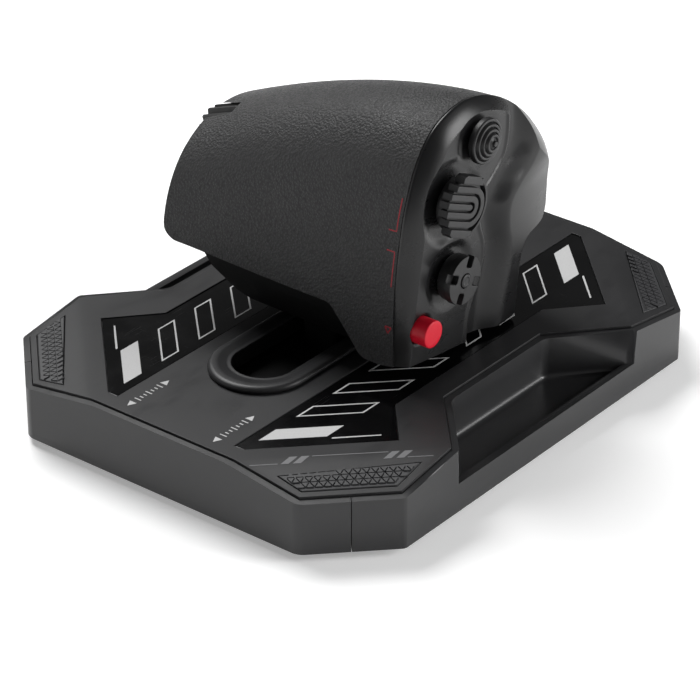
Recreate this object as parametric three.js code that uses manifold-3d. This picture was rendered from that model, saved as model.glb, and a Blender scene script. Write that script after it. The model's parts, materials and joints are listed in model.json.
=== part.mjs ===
// Sliding throttle unit of a flight stick set: a low desk base with two guide rails, and a hand
// grip that slides forward and back on them. Millimetres, +Z up, +Y the forward thrust direction,
// +X to the user's right. The origin is the centre of the base on the desk.
import * as THREE from "three";
import { mergeVertices } from "three/addons/utils/BufferGeometryUtils.js";
import Module from "manifold-3d";

const wasm = await Module();
wasm.setup();

// ---------------------------------------------------------------- driving dimensions
const GAP = 0.3; // clearance between neighbouring pieces

// Base outline: half sizes of the plate seam, an octagon with a waist on each side.
const PLATE_END_X = 62.4; // where the short ends meet the corner chamfers
const PLATE_END_Y = 108.4;
const PLATE_SIDE_X = 87.5; // where the sides meet the corner chamfers
const PLATE_SIDE_Y = 83.2;
const SHOULDER_Y = 54.9; // where the waist begins on each side
const WAIST_X = 64.3;
const WAIST_Y = 29.2;
const FOLD_X = 33.0; // where the corner facets begin on the short ends
const FACET_DROP = 4.3; // how far a corner facet falls to the chamfer edge
const RIM = 2.4; // how far the skirts stand outside the plate seam
const PLATE_TOP = 28.9;
const PLATE_THICK = 3.0;
const RIM_STEP = 0.9; // the skirts end this far below the plate's top
const SKIRT_LOW = 2.8;
const LEDGE = 2.6; // skirt ledge under the plate
const FOOT_HEIGHT = 2.2;
const TRAY_LOW = 2.5;
const TRAY_TOP = 5.0;

// Side pockets, let into the waist.
const POCKET_RIM_Z = 14.2;
const POCKET_FLOOR_Z = 11.2;
const POCKET_WALL = 3.2;

// Slot, collar and sliding parts.
const SLOT_HALF_WIDTH = 12.0;
const SLOT_HALF_LENGTH = 64.0;
const COLLAR_SIDE = 7.5;
const COLLAR_SLEEVE = 3.6;
const COLLAR_TOP = 31.6;
const THROW = 40.0; // the grip slides this far each way from the middle
const RAIL_X = 30.0;
const RAIL_Z = 13.0;
const RAIL_RADIUS = 3.5;
const RAIL_HALF_LENGTH = 97.0;
const BLOCK_Y = 90.0;
const BLOCK_THICK = 9.0;
const CARRIAGE_HALF_X = 41.0;
const CARRIAGE_HALF_Y = 30.0;
const CARRIAGE_LOW = 6.8;
const CARRIAGE_TOP = 19.2;
const BUSH_RADIUS = 4.9;
const SHUTTER_Z = 20.2;
const SHUTTER_THICK = 1.4;
const NECK_HALF_X = 9.0;
const NECK_HALF_Y = 21.0;
const NECK_TOP = 44.0;

// Grip.
const GRIP_LEFT = -58.5;
const SEAM_X = 46.0; // palm shell to thumb plate
const PLATE_FACE_X = 52.0;
const WALL_SCALE = 0.945; // inner skin over outer skin
const GRIP_MID_Y = 5.0;
const GRIP_MID_Z = 76.0;
const SHELL_SPLIT_Y = 27.0;
const PALM_EDGE_Z = 57.0;
const SWEEP_POWER = 1.7; // how quickly the grip's back rises from left to right

// Thumb controls: y and z of each centre on the thumb plate, the x of its face, and the radius of
// the recess that it tilts in.
const STICK = { y: 6.5, z: 113.5, radius: 8.6, face: 59.0, recess: 11.0 };
const RIBBED_HAT = { y: -10.6, z: 95.6, radius: 12.7, face: 60.0, recess: 14.3 };
const NOTCHED_HAT = { y: -10.6, z: 66.2, radius: 9.4, face: 59.5, recess: 11.2 };
const PUSH_BUTTON = { y: -26.5, z: 50.6, radius: 5.2, face: 57.5, back: 46.0, stemEnd: 35.0 };
const TILTING = [STICK, RIBBED_HAT, NOTCHED_HAT];
const RECESS_FLOOR_X = 50.4;
const PIVOT_X = 42.0;
const CAP_BACK_X = 52.6; // where the tilting caps begin
const STEM_RADIUS = 2.6;
const STEM_HOLE = 5.4;

// Dial at the left end of the grip.
const DIAL = { x: -50.5, y: -7.0, z: 89.0, radius: 12.0, half: 7.5, tilt: 0.355 };
const DIAL_RIBS = 18;

const RADIAL = 28; // facets round a turned piece

// ---------------------------------------------------------------- colours
const COLOURS = {
  casing: [0x2e2f31, 0.5, 0],
  shell: [0x262628, 0.75, 0],
  gloss: [0x08080a, 0.15, 0],
  pad: [0x3c3d40, 0.8, 0],
  rubber: [0x1a1a1b, 0.9, 0],
  red: [0xc81830, 0.35, 0],
  steel: [0xb9bcc0, 0.25, 1],
  brass: [0xb08d4a, 0.35, 1],
  board: [0x1d5c38, 0.5, 0],
  inner: [0x17171a, 0.6, 0],
  white: [0xd8d6d0, 0.4, 0],
};

function material(name) {
  const [color, roughness, metalness] = COLOURS[name];
  return new THREE.MeshStandardMaterial({ color, roughness, metalness });
}

// ---------------------------------------------------------------- solids
function solid(geometry) {
  const bare = geometry.clone();
  bare.deleteAttribute("normal");
  bare.deleteAttribute("uv");
  const merged = mergeVertices(bare, 1e-4);
  return new wasm.Manifold(
    new wasm.Mesh({
      numProp: 3,
      vertProperties: new Float32Array(merged.attributes.position.array),
      triVerts: new Uint32Array(merged.index.array),
    }),
  );
}

function geometryOf(body) {
  const mesh = body.getMesh();
  const geometry = new THREE.BufferGeometry();
  geometry.setAttribute("position", new THREE.BufferAttribute(mesh.vertProperties, 3));
  geometry.setIndex(new THREE.BufferAttribute(mesh.triVerts, 1));
  const flat = geometry.toNonIndexed();
  flat.computeVertexNormals();
  return flat;
}

function shapeOf(points) {
  return new THREE.Shape(points.map(([a, b]) => new THREE.Vector2(a, b)));
}

function extruded(points, depth) {
  return new THREE.ExtrudeGeometry(shapeOf(points), { depth, bevelEnabled: false });
}

// Outline in x, y, standing from z0 to z1.
function prismZ(points, z0, z1) {
  return solid(extruded(points, z1 - z0).translate(0, 0, z0));
}

const TURN_YZ = new THREE.Matrix4().makeBasis(
  new THREE.Vector3(0, 1, 0),
  new THREE.Vector3(0, 0, 1),
  new THREE.Vector3(1, 0, 0),
);
const TURN_XZ = new THREE.Matrix4().makeBasis(
  new THREE.Vector3(1, 0, 0),
  new THREE.Vector3(0, 0, 1),
  new THREE.Vector3(0, -1, 0),
);

// Outline in y, z, running from x0 to x1.
function prismX(points, x0, x1) {
  return solid(extruded(points, x1 - x0).applyMatrix4(TURN_YZ).translate(x0, 0, 0));
}

// Outline in x, z, running from y0 to y1.
function prismY(points, y0, y1) {
  return solid(extruded(points, y1 - y0).applyMatrix4(TURN_XZ).translate(0, y1, 0));
}

function block(x, y, z) {
  const box = new THREE.BoxGeometry(x[1] - x[0], y[1] - y[0], z[1] - z[0]);
  return solid(box.translate((x[0] + x[1]) / 2, (y[0] + y[1]) / 2, (z[0] + z[1]) / 2));
}

function rodGeometry(radius, length, facets) {
  return new THREE.CylinderGeometry(radius, radius, length, facets);
}

function rodX(x0, x1, y, z, radius, facets = RADIAL) {
  const rod = rodGeometry(radius, x1 - x0, facets).rotateZ(-Math.PI / 2);
  return solid(rod.translate((x0 + x1) / 2, y, z));
}

function rodY(y0, y1, x, z, radius, facets = RADIAL) {
  return solid(rodGeometry(radius, y1 - y0, facets).translate(x, (y0 + y1) / 2, z));
}

function rodZ(z0, z1, x, y, radius, facets = RADIAL) {
  const rod = rodGeometry(radius, z1 - z0, facets).rotateX(Math.PI / 2);
  return solid(rod.translate(x, y, (z0 + z1) / 2));
}

// A turned piece on an axis along +X: profile points are [radius, x] and close on the axis.
function turnedX(profile, y, z, facets = RADIAL) {
  const points = profile.map(([radius, x]) => new THREE.Vector2(radius, x));
  const lathe = new THREE.LatheGeometry(points, facets).rotateZ(-Math.PI / 2);
  return solid(lathe.translate(0, y, z));
}

// ---------------------------------------------------------------- outlines
// Moves every side of a counter-clockwise outline outwards by a distance.
function offsetOutline(points, distance) {
  const count = points.length;
  const normalOf = (a, b) => {
    const length = Math.hypot(b[0] - a[0], b[1] - a[1]);
    return [(b[1] - a[1]) / length, (a[0] - b[0]) / length];
  };
  return points.map((point, i) => {
    const before = normalOf(points[(i + count - 1) % count], point);
    const after = normalOf(point, points[(i + 1) % count]);
    const scale = distance / (1 + before[0] * after[0] + before[1] * after[1]);
    return [point[0] + (before[0] + after[0]) * scale, point[1] + (before[1] + after[1]) * scale];
  });
}

// Mirrors a quarter outline, listed counter-clockwise from +X to +Y, into all four quarters.
function fourQuarters(quarter) {
  const flipX = quarter.map(([x, y]) => [-x, y]).reverse();
  const flipXY = quarter.map(([x, y]) => [-x, -y]);
  const flipY = quarter.map(([x, y]) => [x, -y]).reverse();
  return [...quarter, ...flipX, ...flipXY, ...flipY];
}

const WAIST_CORNERS = [[WAIST_X, WAIST_Y], [PLATE_SIDE_X, SHOULDER_Y]];
const CHAMFER_CORNERS = [[PLATE_SIDE_X, PLATE_SIDE_Y], [PLATE_END_X, PLATE_END_Y]];
const PLATE_OUTLINE = fourQuarters([...WAIST_CORNERS, ...CHAMFER_CORNERS]);
const OCTAGON = fourQuarters(CHAMFER_CORNERS);

function stadium(halfWidth, halfLength, facets = 12) {
  const points = [];
  const straight = halfLength - halfWidth;
  for (const end of [1, -1]) {
    for (let i = 0; i <= facets; i += 1) {
      const angle = (Math.PI * i) / facets + (end > 0 ? 0 : Math.PI);
      points.push([halfWidth * Math.cos(angle), end * straight + halfWidth * Math.sin(angle)]);
    }
  }
  return points;
}

function roundedBox(halfX, halfY, radius, facets = 5) {
  const corners = [[1, 1], [-1, 1], [-1, -1], [1, -1]];
  return corners.flatMap(([sx, sy], quarter) =>
    Array.from({ length: facets + 1 }, (_, i) => {
      const angle = (Math.PI / 2) * (quarter + i / facets);
      return [
        sx * (halfX - radius) + radius * Math.cos(angle),
        sy * (halfY - radius) + radius * Math.sin(angle),
      ];
    }));
}

// ---------------------------------------------------------------- base
const FOLD_LENGTH = Math.hypot(PLATE_SIDE_X - FOLD_X, PLATE_END_Y - SHOULDER_Y);
const FOLD_NORMAL = [(PLATE_END_Y - SHOULDER_Y) / FOLD_LENGTH, (PLATE_SIDE_X - FOLD_X) / FOLD_LENGTH];
const FACET_RUN = FOLD_NORMAL[0] * (PLATE_END_X - FOLD_X);
const FACET_TILT = Math.atan(FACET_DROP / FACET_RUN);

// The space above one corner facet, for a plate whose flat top is at the given height.
function aboveFacet(sideX, sideY, top) {
  const out = [sideX * FOLD_NORMAL[0], sideY * FOLD_NORMAL[1]];
  const down = new THREE.Vector3(
    out[0] * Math.cos(FACET_TILT), out[1] * Math.cos(FACET_TILT), -Math.sin(FACET_TILT));
  const up = new THREE.Vector3(
    out[0] * Math.sin(FACET_TILT), out[1] * Math.sin(FACET_TILT), Math.cos(FACET_TILT));
  const along = new THREE.Vector3().crossVectors(down, up);
  const reach = 80; // more than any facet measures
  const cutter = new THREE.BoxGeometry(4 * reach, reach, reach).translate(0, reach / 2, reach / 2);
  cutter.applyMatrix4(new THREE.Matrix4().makeBasis(along, down, up));
  return solid(cutter.translate(sideX * FOLD_X, sideY * PLATE_END_Y, top));
}

// A block on an outline whose top has the four falling corner facets.
function facetedBlock(outline, low, top) {
  let body = prismZ(outline, low, top);
  for (const sideX of [1, -1]) {
    for (const sideY of [1, -1]) body = body.subtract(aboveFacet(sideX, sideY, top));
  }
  return body;
}

const SCREW_PLACES = [[48, 72], [-48, 72], [-48, -72], [48, -72]];
const FOOT_PLACES = [[60, 88], [-60, 88], [-60, -88], [60, -88]];
const BOSS_RADIUS = 4.2;
const BOSS_LOW = TRAY_TOP + 4;
const SCREW_RADIUS = 1.4;
const SCREW_HEAD = 3.2;
const SCREW_TOP = PLATE_TOP - PLATE_THICK - 4;
const PANEL_DEPTH = 1.2;
const PAD_DEPTH = 1.3;
const PAD_PROUD = 0.2; // the pads stand this far above the plate
const BELOW = -1; // heights past the base's underside and top, for cutting right through
const ABOVE = 60;

// Glossy panel: a ribbon beside the slot that follows the waist and the corner facets.
const PANEL_INNER_X = 27.5;
const PANEL_WAIST_X = 53.8;
const PANEL_QUARTER = [[PANEL_WAIST_X, 44.6], [69.8, 62.6], [31.5, 101.0], [PANEL_INNER_X, 101.0]];

function panelOutline(sideX) {
  const upper = PANEL_QUARTER;
  const lower = PANEL_QUARTER.map(([x, y]) => [x, -y]).reverse();
  const outline = [...upper, ...lower];
  return sideX > 0 ? outline : outline.map(([x, y]) => [-x, y]).reverse();
}

const PAD_OUTLINE = [[50.5, 104.8], [61.2, 105.4], [84.4, 82.2], [83.6, 68.2]];

function padOutline(sideX, sideY) {
  const outline = PAD_OUTLINE.map(([x, y]) => [sideX * x, sideY * y]);
  return sideX * sideY < 0 ? outline : outline.reverse();
}

function corners(make) {
  return [[1, 1], [-1, 1], [-1, -1], [1, -1]].map(([sideX, sideY]) => make(sideX, sideY));
}

function topCover() {
  const plateLow = PLATE_TOP - PLATE_THICK;
  const sleeveHole = stadium(SLOT_HALF_WIDTH + COLLAR_SLEEVE + GAP, SLOT_HALF_LENGTH + COLLAR_SLEEVE + GAP);
  let cover = facetedBlock(offsetOutline(PLATE_OUTLINE, -GAP), FOOT_HEIGHT, PLATE_TOP)
    .subtract(facetedBlock(offsetOutline(PLATE_OUTLINE, RIM), BELOW, plateLow));
  for (const [x, y] of SCREW_PLACES) {
    cover = cover.add(rodZ(BOSS_LOW, plateLow + 1, x, y, BOSS_RADIUS, 16));
    cover = cover.subtract(rodZ(BELOW, SCREW_TOP + 2, x, y, SCREW_RADIUS + GAP, 12));
  }
  cover = cover.subtract(prismZ(sleeveHole, BELOW, ABOVE));
  for (const sideX of [1, -1]) {
    const pocket = prismZ(offsetOutline(panelOutline(sideX), GAP), PLATE_TOP - PANEL_DEPTH, ABOVE);
    cover = cover.subtract(pocket);
  }
  for (const pad of corners((sideX, sideY) => offsetOutline(padOutline(sideX, sideY), GAP))) {
    const below = facetedBlock(offsetOutline(OCTAGON, 1), BELOW, PLATE_TOP - PAD_DEPTH);
    cover = cover.subtract(prismZ(pad, FOOT_HEIGHT, ABOVE).subtract(below));
  }
  return cover;
}

function glossPanel(sideX) {
  const low = PLATE_TOP - PANEL_DEPTH + GAP;
  return prismZ(panelOutline(sideX), low, PLATE_TOP - GAP);
}

function cornerPad(sideX, sideY) {
  const upTo = facetedBlock(offsetOutline(OCTAGON, 1), 0, PLATE_TOP + PAD_PROUD);
  const downTo = facetedBlock(offsetOutline(OCTAGON, 2), BELOW, PLATE_TOP - PAD_DEPTH + GAP);
  return prismZ(padOutline(sideX, sideY), FOOT_HEIGHT, ABOVE).intersect(upTo.subtract(downTo));
}

const COLLAR_END = COLLAR_SIDE + 2; // the collar's foot reaches further at the slot's ends
const COLLAR_STEP = 1.0;
const SLEEVE_LOW = 24.0;

function slotCollar() {
  const sleeve = stadium(SLOT_HALF_WIDTH + COLLAR_SLEEVE, SLOT_HALF_LENGTH + COLLAR_SLEEVE);
  const foot = stadium(SLOT_HALF_WIDTH + COLLAR_SIDE, SLOT_HALF_LENGTH + COLLAR_END);
  const brim = prismZ(foot, PLATE_TOP + GAP, COLLAR_TOP - COLLAR_STEP)
    .add(prismZ(offsetOutline(foot, -COLLAR_STEP), COLLAR_TOP - 1.2 * COLLAR_STEP, COLLAR_TOP));
  return prismZ(sleeve, SLEEVE_LOW, COLLAR_TOP)
    .add(brim)
    .subtract(prismZ(stadium(SLOT_HALF_WIDTH, SLOT_HALF_LENGTH), BELOW, ABOVE));
}

// The whole skirt ring before it is split at the middle of each corner chamfer.
function skirtRing() {
  const outer = facetedBlock(offsetOutline(OCTAGON, RIM), SKIRT_LOW, PLATE_TOP - RIM_STEP);
  const plateSpace = prismZ(PLATE_OUTLINE, 0, ABOVE)
    .subtract(facetedBlock(offsetOutline(OCTAGON, RIM + 1), BELOW, PLATE_TOP - PLATE_THICK - GAP));
  const inside = prismZ(offsetOutline(PLATE_OUTLINE, -LEDGE), BELOW, ABOVE);
  return outer.subtract(plateSpace).subtract(inside);
}

// Cuts the waist's open shelf, with its low outer rim, into a side skirt.
function cutPocket(ring, sideX) {
  const [waist, shoulder] = offsetOutline(PLATE_OUTLINE, RIM);
  const rimX = PLATE_SIDE_X + RIM - POCKET_WALL;
  const slope = (shoulder[0] - waist[0]) / (shoulder[1] - waist[1]);
  const rimY = waist[1] + (rimX - waist[0]) / slope;
  const beyond = 20;
  const shelf = bothEnds([waist, [rimX, rimY]], sideX);
  const lowered = bothEnds([waist, shoulder, [shoulder[0] + beyond, shoulder[1]]], sideX);
  return ring
    .subtract(prismZ(shelf, POCKET_FLOOR_Z, ABOVE))
    .subtract(prismZ(lowered, POCKET_RIM_Z, ABOVE));
}

// A counter-clockwise outline on one side from the corners of its +Y half, waist first.
function bothEnds(half, sideX) {
  const near = half.map(([x, y]) => [sideX * x, -y]);
  const far = half.map(([x, y]) => [sideX * x, y]).reverse();
  return sideX > 0 ? [...near, ...far] : [...near, ...far].reverse();
}

const SPLIT_X = (PLATE_END_X + PLATE_SIDE_X) / 2;
const SPLIT_Y = (PLATE_END_Y + PLATE_SIDE_Y) / 2;
const SPLIT_OUT = 40; // how far the split regions reach past the chamfer's middle
const SPLIT_IN = 30;

function endRegion(sideY) {
  const outline = [
    [-SPLIT_X - SPLIT_OUT, sideY * (SPLIT_Y + SPLIT_OUT)],
    [SPLIT_X + SPLIT_OUT, sideY * (SPLIT_Y + SPLIT_OUT)],
    [SPLIT_X - SPLIT_IN, sideY * (SPLIT_Y - SPLIT_IN)],
    [-SPLIT_X + SPLIT_IN, sideY * (SPLIT_Y - SPLIT_IN)],
  ];
  return offsetOutline(sideY > 0 ? outline.reverse() : outline, -GAP / 2);
}

function sideRegion(sideX) {
  const outline = [
    [sideX * (SPLIT_X + SPLIT_OUT), -SPLIT_Y - SPLIT_OUT],
    [sideX * (SPLIT_X + SPLIT_OUT), SPLIT_Y + SPLIT_OUT],
    [sideX * (SPLIT_X - SPLIT_IN), SPLIT_Y - SPLIT_IN],
    [sideX * (SPLIT_X - SPLIT_IN), -SPLIT_Y + SPLIT_IN],
  ];
  return offsetOutline(sideX > 0 ? outline : outline.reverse(), -GAP / 2);
}

const USB = { x: -16, half: 4.6, low: 9.0, high: 12.4 };
const PEDAL = { x: 16, half: 5.6, low: 8.0, high: 15.0 };
const SOCKET_WALL = 1.2;
const SOCKET_BACK_Y = 104.6;
const SOCKET_FACE_Y = PLATE_END_Y + RIM - 0.4;

// A block through the rear bezel as wide and high as a socket's mouth, grown all round.
function socketHole(socket, grow, fromY = SOCKET_BACK_Y - 2) {
  return block(
    [socket.x - socket.half - grow, socket.x + socket.half + grow],
    [fromY, SOCKET_FACE_Y + 5],
    [socket.low - grow, socket.high + grow],
  );
}

function endBezel(ring, sideY) {
  const bezel = ring.intersect(prismZ(endRegion(sideY), 0, ABOVE));
  if (sideY < 0) return bezel;
  return bezel
    .subtract(socketHole(USB, SOCKET_WALL + GAP))
    .subtract(socketHole(PEDAL, SOCKET_WALL + GAP));
}

function sideSkirt(ring, sideX) {
  return cutPocket(ring.intersect(prismZ(sideRegion(sideX), 0, ABOVE)), sideX);
}

function socketShell(socket) {
  const body = block(
    [socket.x - socket.half - SOCKET_WALL, socket.x + socket.half + SOCKET_WALL],
    [SOCKET_BACK_Y, SOCKET_FACE_Y],
    [socket.low - SOCKET_WALL, socket.high + SOCKET_WALL],
  );
  return body.subtract(socketHole(socket, 0, SOCKET_BACK_Y + 0.8));
}

const BRAKE_HALF = 11;
const TENSION_HEAD = 5;
const TENSION_SHANK = 2;
const HEAD_SEAT = 2.6; // depth of a screw head's seat in the tray
const HEAD_THICK = 1.8;
const FOOT_RADIUS = 10;
const FOOT_STEP = 0.5;

function baseTray() {
  let tray = prismZ(offsetOutline(PLATE_OUTLINE, -LEDGE - GAP), TRAY_LOW, TRAY_TOP);
  for (const [x, y] of SCREW_PLACES) {
    tray = tray.add(rodZ(TRAY_LOW, BOSS_LOW - 0.4, x, y, BOSS_RADIUS + 1, 16));
    tray = tray.subtract(rodZ(BELOW, ABOVE, x, y, SCREW_RADIUS + GAP, 12));
    tray = tray.subtract(rodZ(BELOW, TRAY_LOW + HEAD_SEAT, x, y, SCREW_HEAD + GAP, 16));
  }
  tray = tray.subtract(rodZ(BELOW, ABOVE, 0, 0, TENSION_SHANK + GAP, 16));
  return tray.subtract(rodZ(BELOW, TRAY_LOW + 1.2, 0, 0, TENSION_HEAD + GAP, 24));
}

// A screwdriver slot of the given half sizes, cut up from below to a height.
function driverSlot(x, y, [halfX, halfY], top) {
  return block([x - halfX, x + halfX], [y - halfY, y + halfY], [BELOW, top]);
}

function baseScrew([x, y]) {
  const low = TRAY_LOW + 0.4;
  const slotHalf = [2, 0.4];
  return rodZ(low, low + HEAD_THICK, x, y, SCREW_HEAD, 16)
    .add(rodZ(low + 1, SCREW_TOP, x, y, SCREW_RADIUS, 12))
    .subtract(driverSlot(x, y, slotHalf, low + 0.7));
}

function rubberFoot([x, y]) {
  return rodZ(FOOT_STEP, FOOT_HEIGHT, x, y, FOOT_RADIUS, 24)
    .add(rodZ(0, FOOT_STEP + 0.1, x, y, FOOT_RADIUS - FOOT_STEP, 24));
}

function guideRail(sideX) {
  return rodY(-RAIL_HALF_LENGTH, RAIL_HALF_LENGTH, sideX * RAIL_X, RAIL_Z, RAIL_RADIUS, 20);
}

function railBlock(sideY) {
  const faces = [sideY * BLOCK_Y, sideY * (BLOCK_Y + BLOCK_THICK)].sort((a, b) => a - b);
  const blind = [sideY * (BLOCK_Y - 1), sideY * (RAIL_HALF_LENGTH + GAP)].sort((a, b) => a - b);
  let body = block([-CARRIAGE_HALF_X, CARRIAGE_HALF_X], faces, [TRAY_TOP + GAP, RAIL_Z + 7]);
  for (const sideX of [1, -1]) {
    body = body.subtract(rodY(blind[0], blind[1], sideX * RAIL_X, RAIL_Z, RAIL_RADIUS + GAP, 20));
  }
  return body;
}

const MAGNET = { x: 16, half: 4, low: 7.0, high: 9.4 };

function carriage() {
  let body = block(
    [-CARRIAGE_HALF_X, CARRIAGE_HALF_X], [-CARRIAGE_HALF_Y, CARRIAGE_HALF_Y], [CARRIAGE_LOW, CARRIAGE_TOP]);
  for (const sideX of [1, -1]) {
    const seatHalf = CARRIAGE_HALF_Y + 1;
    body = body.subtract(rodY(-seatHalf, seatHalf, sideX * RAIL_X, RAIL_Z, BUSH_RADIUS + GAP, 20));
  }
  const magnetSeat = block(
    [MAGNET.x - MAGNET.half - GAP, MAGNET.x + MAGNET.half + GAP],
    [-MAGNET.half - GAP, MAGNET.half + GAP],
    [BELOW, MAGNET.high + GAP],
  );
  return body.subtract(magnetSeat);
}

function bush(sideX) {
  const half = CARRIAGE_HALF_Y - 0.5;
  return rodY(-half, half, sideX * RAIL_X, RAIL_Z, BUSH_RADIUS, 20)
    .subtract(rodY(-half - 1, half + 1, sideX * RAIL_X, RAIL_Z, RAIL_RADIUS + GAP, 20));
}

function sensorMagnet() {
  const { x, half, low, high } = MAGNET;
  return block([x - half, x + half], [-half, half], [low, high]);
}

const INSIDE_HALF_Y = 58; // half length of the sensor strip and the ballast bars
const STRIP_THICK = 0.9;
const SHOE_LOW = TRAY_TOP + 0.5;
const BALLAST = { inner: 46, outer: 57, thick: 4.7 };
const BOARD = { halfX: 36, y: [102.2, 103.8], z: [TRAY_TOP + 0.6, 19] };

function sensorStrip() {
  const { x, half } = MAGNET;
  const low = TRAY_TOP + GAP;
  return block([x - half, x + half], [-INSIDE_HALF_Y, INSIDE_HALF_Y], [low, low + STRIP_THICK]);
}

function brakeShoe() {
  return block([-BRAKE_HALF, BRAKE_HALF - 1], [-BRAKE_HALF, BRAKE_HALF], [SHOE_LOW, CARRIAGE_LOW - GAP]);
}

function tensionScrew() {
  const low = TRAY_LOW + 0.1;
  const slotHalf = [4, 0.6];
  return rodZ(low, low + 0.8, 0, 0, TENSION_HEAD, 24)
    .add(rodZ(low + 0.4, SHOE_LOW - GAP, 0, 0, TENSION_SHANK, 16))
    .subtract(driverSlot(0, 0, slotHalf, low + 0.4));
}

function ballastBar(sideX) {
  const low = TRAY_TOP + GAP;
  const x = [sideX * BALLAST.inner, sideX * BALLAST.outer].sort((a, b) => a - b);
  return block(x, [-INSIDE_HALF_Y, INSIDE_HALF_Y], [low, low + BALLAST.thick]);
}

function mainBoard() {
  return block([-BOARD.halfX, BOARD.halfX], BOARD.y, BOARD.z);
}

// ---------------------------------------------------------------- sliding parts
const SHUTTER_HALF_X = SLOT_HALF_WIDTH + 6;
const SHUTTER_HALF_Y = 52;
const NECK_CORNER = 4;

function neckOutline(grow) {
  return roundedBox(NECK_HALF_X + grow, NECK_HALF_Y + grow, NECK_CORNER);
}

function slotShutter() {
  return prismZ(roundedBox(SHUTTER_HALF_X, SHUTTER_HALF_Y, 2, 3), SHUTTER_Z, SHUTTER_Z + SHUTTER_THICK)
    .subtract(prismZ(neckOutline(GAP), BELOW, ABOVE));
}

function neck() {
  return prismZ(neckOutline(0), CARRIAGE_TOP + GAP, NECK_TOP);
}

// ---------------------------------------------------------------- grip
// Cross-sections of the grip at its right and left ends, as y and z, from the user's side over the
// top to the finger side.
const SECTION_RIGHT = [
  [-34, 24], [-35.5, 42], [-35.5, 62], [-33, 83], [-29.5, 99], [-22.5, 115], [-13, 124.5], [1, 128.5],
  [15, 126.5], [31, 118], [45, 104], [53.5, 88], [53.5, 68], [42, 58], [35, 42], [32, 24],
];
const SECTION_LEFT = [
  [-35, 24], [-38, 42], [-40, 60], [-37, 74], [-30.5, 85.5], [-22, 93], [-11, 98], [0, 99.5],
  [12, 98], [24, 93.5], [36, 86], [43.5, 76], [44, 64], [38, 56], [33, 42], [31, 24],
];
const SECTION_STEPS = 44;
const LOFT_LENGTH = SEAM_X + 4 - GRIP_LEFT;

// The grip's section at a share of the way from its left end to its right end.
function sectionCurve(share) {
  const blend = 1 - (1 - share) ** SWEEP_POWER;
  const points = SECTION_LEFT.map(([y, z], i) => new THREE.Vector3(
    y + (SECTION_RIGHT[i][0] - y) * blend, z + (SECTION_RIGHT[i][1] - z) * blend, 0));
  return new THREE.CatmullRomCurve3(points, true, "centripetal");
}

// A closed loft along X: each station is [x, scale of the section about the grip's middle].
function gripLoft(stations) {
  const rings = stations.map(([x, scale]) => {
    const share = Math.min(1, Math.max(0, (x - GRIP_LEFT) / LOFT_LENGTH));
    return sectionCurve(share).getSpacedPoints(SECTION_STEPS).map((p) => new THREE.Vector3(
      x, GRIP_MID_Y + (p.x - GRIP_MID_Y) * scale, GRIP_MID_Z + (p.y - GRIP_MID_Z) * scale));
  });
  const tube = new THREE.CylinderGeometry(1, 1, 1, SECTION_STEPS, stations.length - 1);
  const place = tube.getAttribute("position");
  const side = SECTION_STEPS + 1;
  const middleOf = (ring) => {
    const sum = new THREE.Vector3();
    for (const p of ring.slice(0, SECTION_STEPS)) sum.add(p);
    return sum.divideScalar(SECTION_STEPS);
  };
  const put = (vertex, p) => place.setXYZ(vertex, p.x, p.y, p.z);
  rings.forEach((ring, row) => ring.forEach((p, i) => put(row * side + i, p)));
  let vertex = rings.length * side;
  for (const ring of [rings[0], rings.at(-1)]) {
    for (let i = 0; i < SECTION_STEPS; i += 1) put(vertex + i, middleOf(ring));
    ring.forEach((p, i) => put(vertex + SECTION_STEPS + i, p));
    vertex += SECTION_STEPS + side;
  }
  const body = solid(tube);
  return body.volume() > 0 ? body : solid(flipped(tube));
}

function flipped(geometry) {
  const index = geometry.index.array;
  for (let i = 0; i < index.length; i += 3) {
    [index[i + 1], index[i + 2]] = [index[i + 2], index[i + 1]];
  }
  return geometry;
}

function evenStations(from, to, steps, scale) {
  return Array.from({ length: steps + 1 }, (_, i) => [from + ((to - from) * i) / steps, scale]);
}

const FAR = 200; // past every face of the part
// What is cut away under the palm shell and under the finger shell, as x and z.
const UNDER_PALM = [
  [-FAR, 0], [FAR, 0], [FAR, 37.5], [42, 37.5], [35, 38.5], [28, 44], [21, 54.5], [16, PALM_EDGE_Z],
  [-FAR, PALM_EDGE_Z],
];
const UNDER_FINGERS = [
  [-FAR, 0], [FAR, 0], [FAR, 31], [38, 31], [20, 52], [16, PALM_EDGE_Z], [-FAR, PALM_EDGE_Z],
];

function gripSkin() {
  const outer = gripLoft(evenStations(GRIP_LEFT, SEAM_X, 8, 1));
  const inner = gripLoft(evenStations(GRIP_LEFT - 2, SEAM_X + 2, 8, WALL_SCALE));
  return outer.subtract(inner);
}

// A rod on the dial's tilted axis.
function dialRod(radius, half, facets = 32) {
  const rod = rodGeometry(radius, 2 * half, facets).rotateZ(-Math.PI / 2).rotateY(-DIAL.tilt);
  return solid(rod.translate(DIAL.x, DIAL.y, DIAL.z));
}

// The space round the dial that its neighbours leave free.
function dialRoom() {
  return dialRod(DIAL.radius + 1, DIAL.half + 1);
}

function palmShell(skin) {
  return skin
    .intersect(block([-FAR, FAR], [-FAR, SHELL_SPLIT_Y - GAP / 2], [0, FAR]))
    .subtract(prismY(UNDER_PALM, -FAR, FAR))
    .subtract(dialRoom());
}

function fingerShell(skin) {
  let shell = skin
    .intersect(block([-FAR, FAR], [SHELL_SPLIT_Y + GAP / 2, FAR], [0, FAR]))
    .subtract(prismY(UNDER_FINGERS, -FAR, FAR));
  for (const button of FINGER_BUTTONS) {
    shell = shell.subtract(rodY(SHELL_SPLIT_Y, FAR, button.x, button.z, button.radius + GAP, 20));
  }
  return shell.subtract(rodY(SHELL_SPLIT_Y, FAR, PADDLE.x, PADDLE.z, PADDLE.hole, 20));
}

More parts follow.
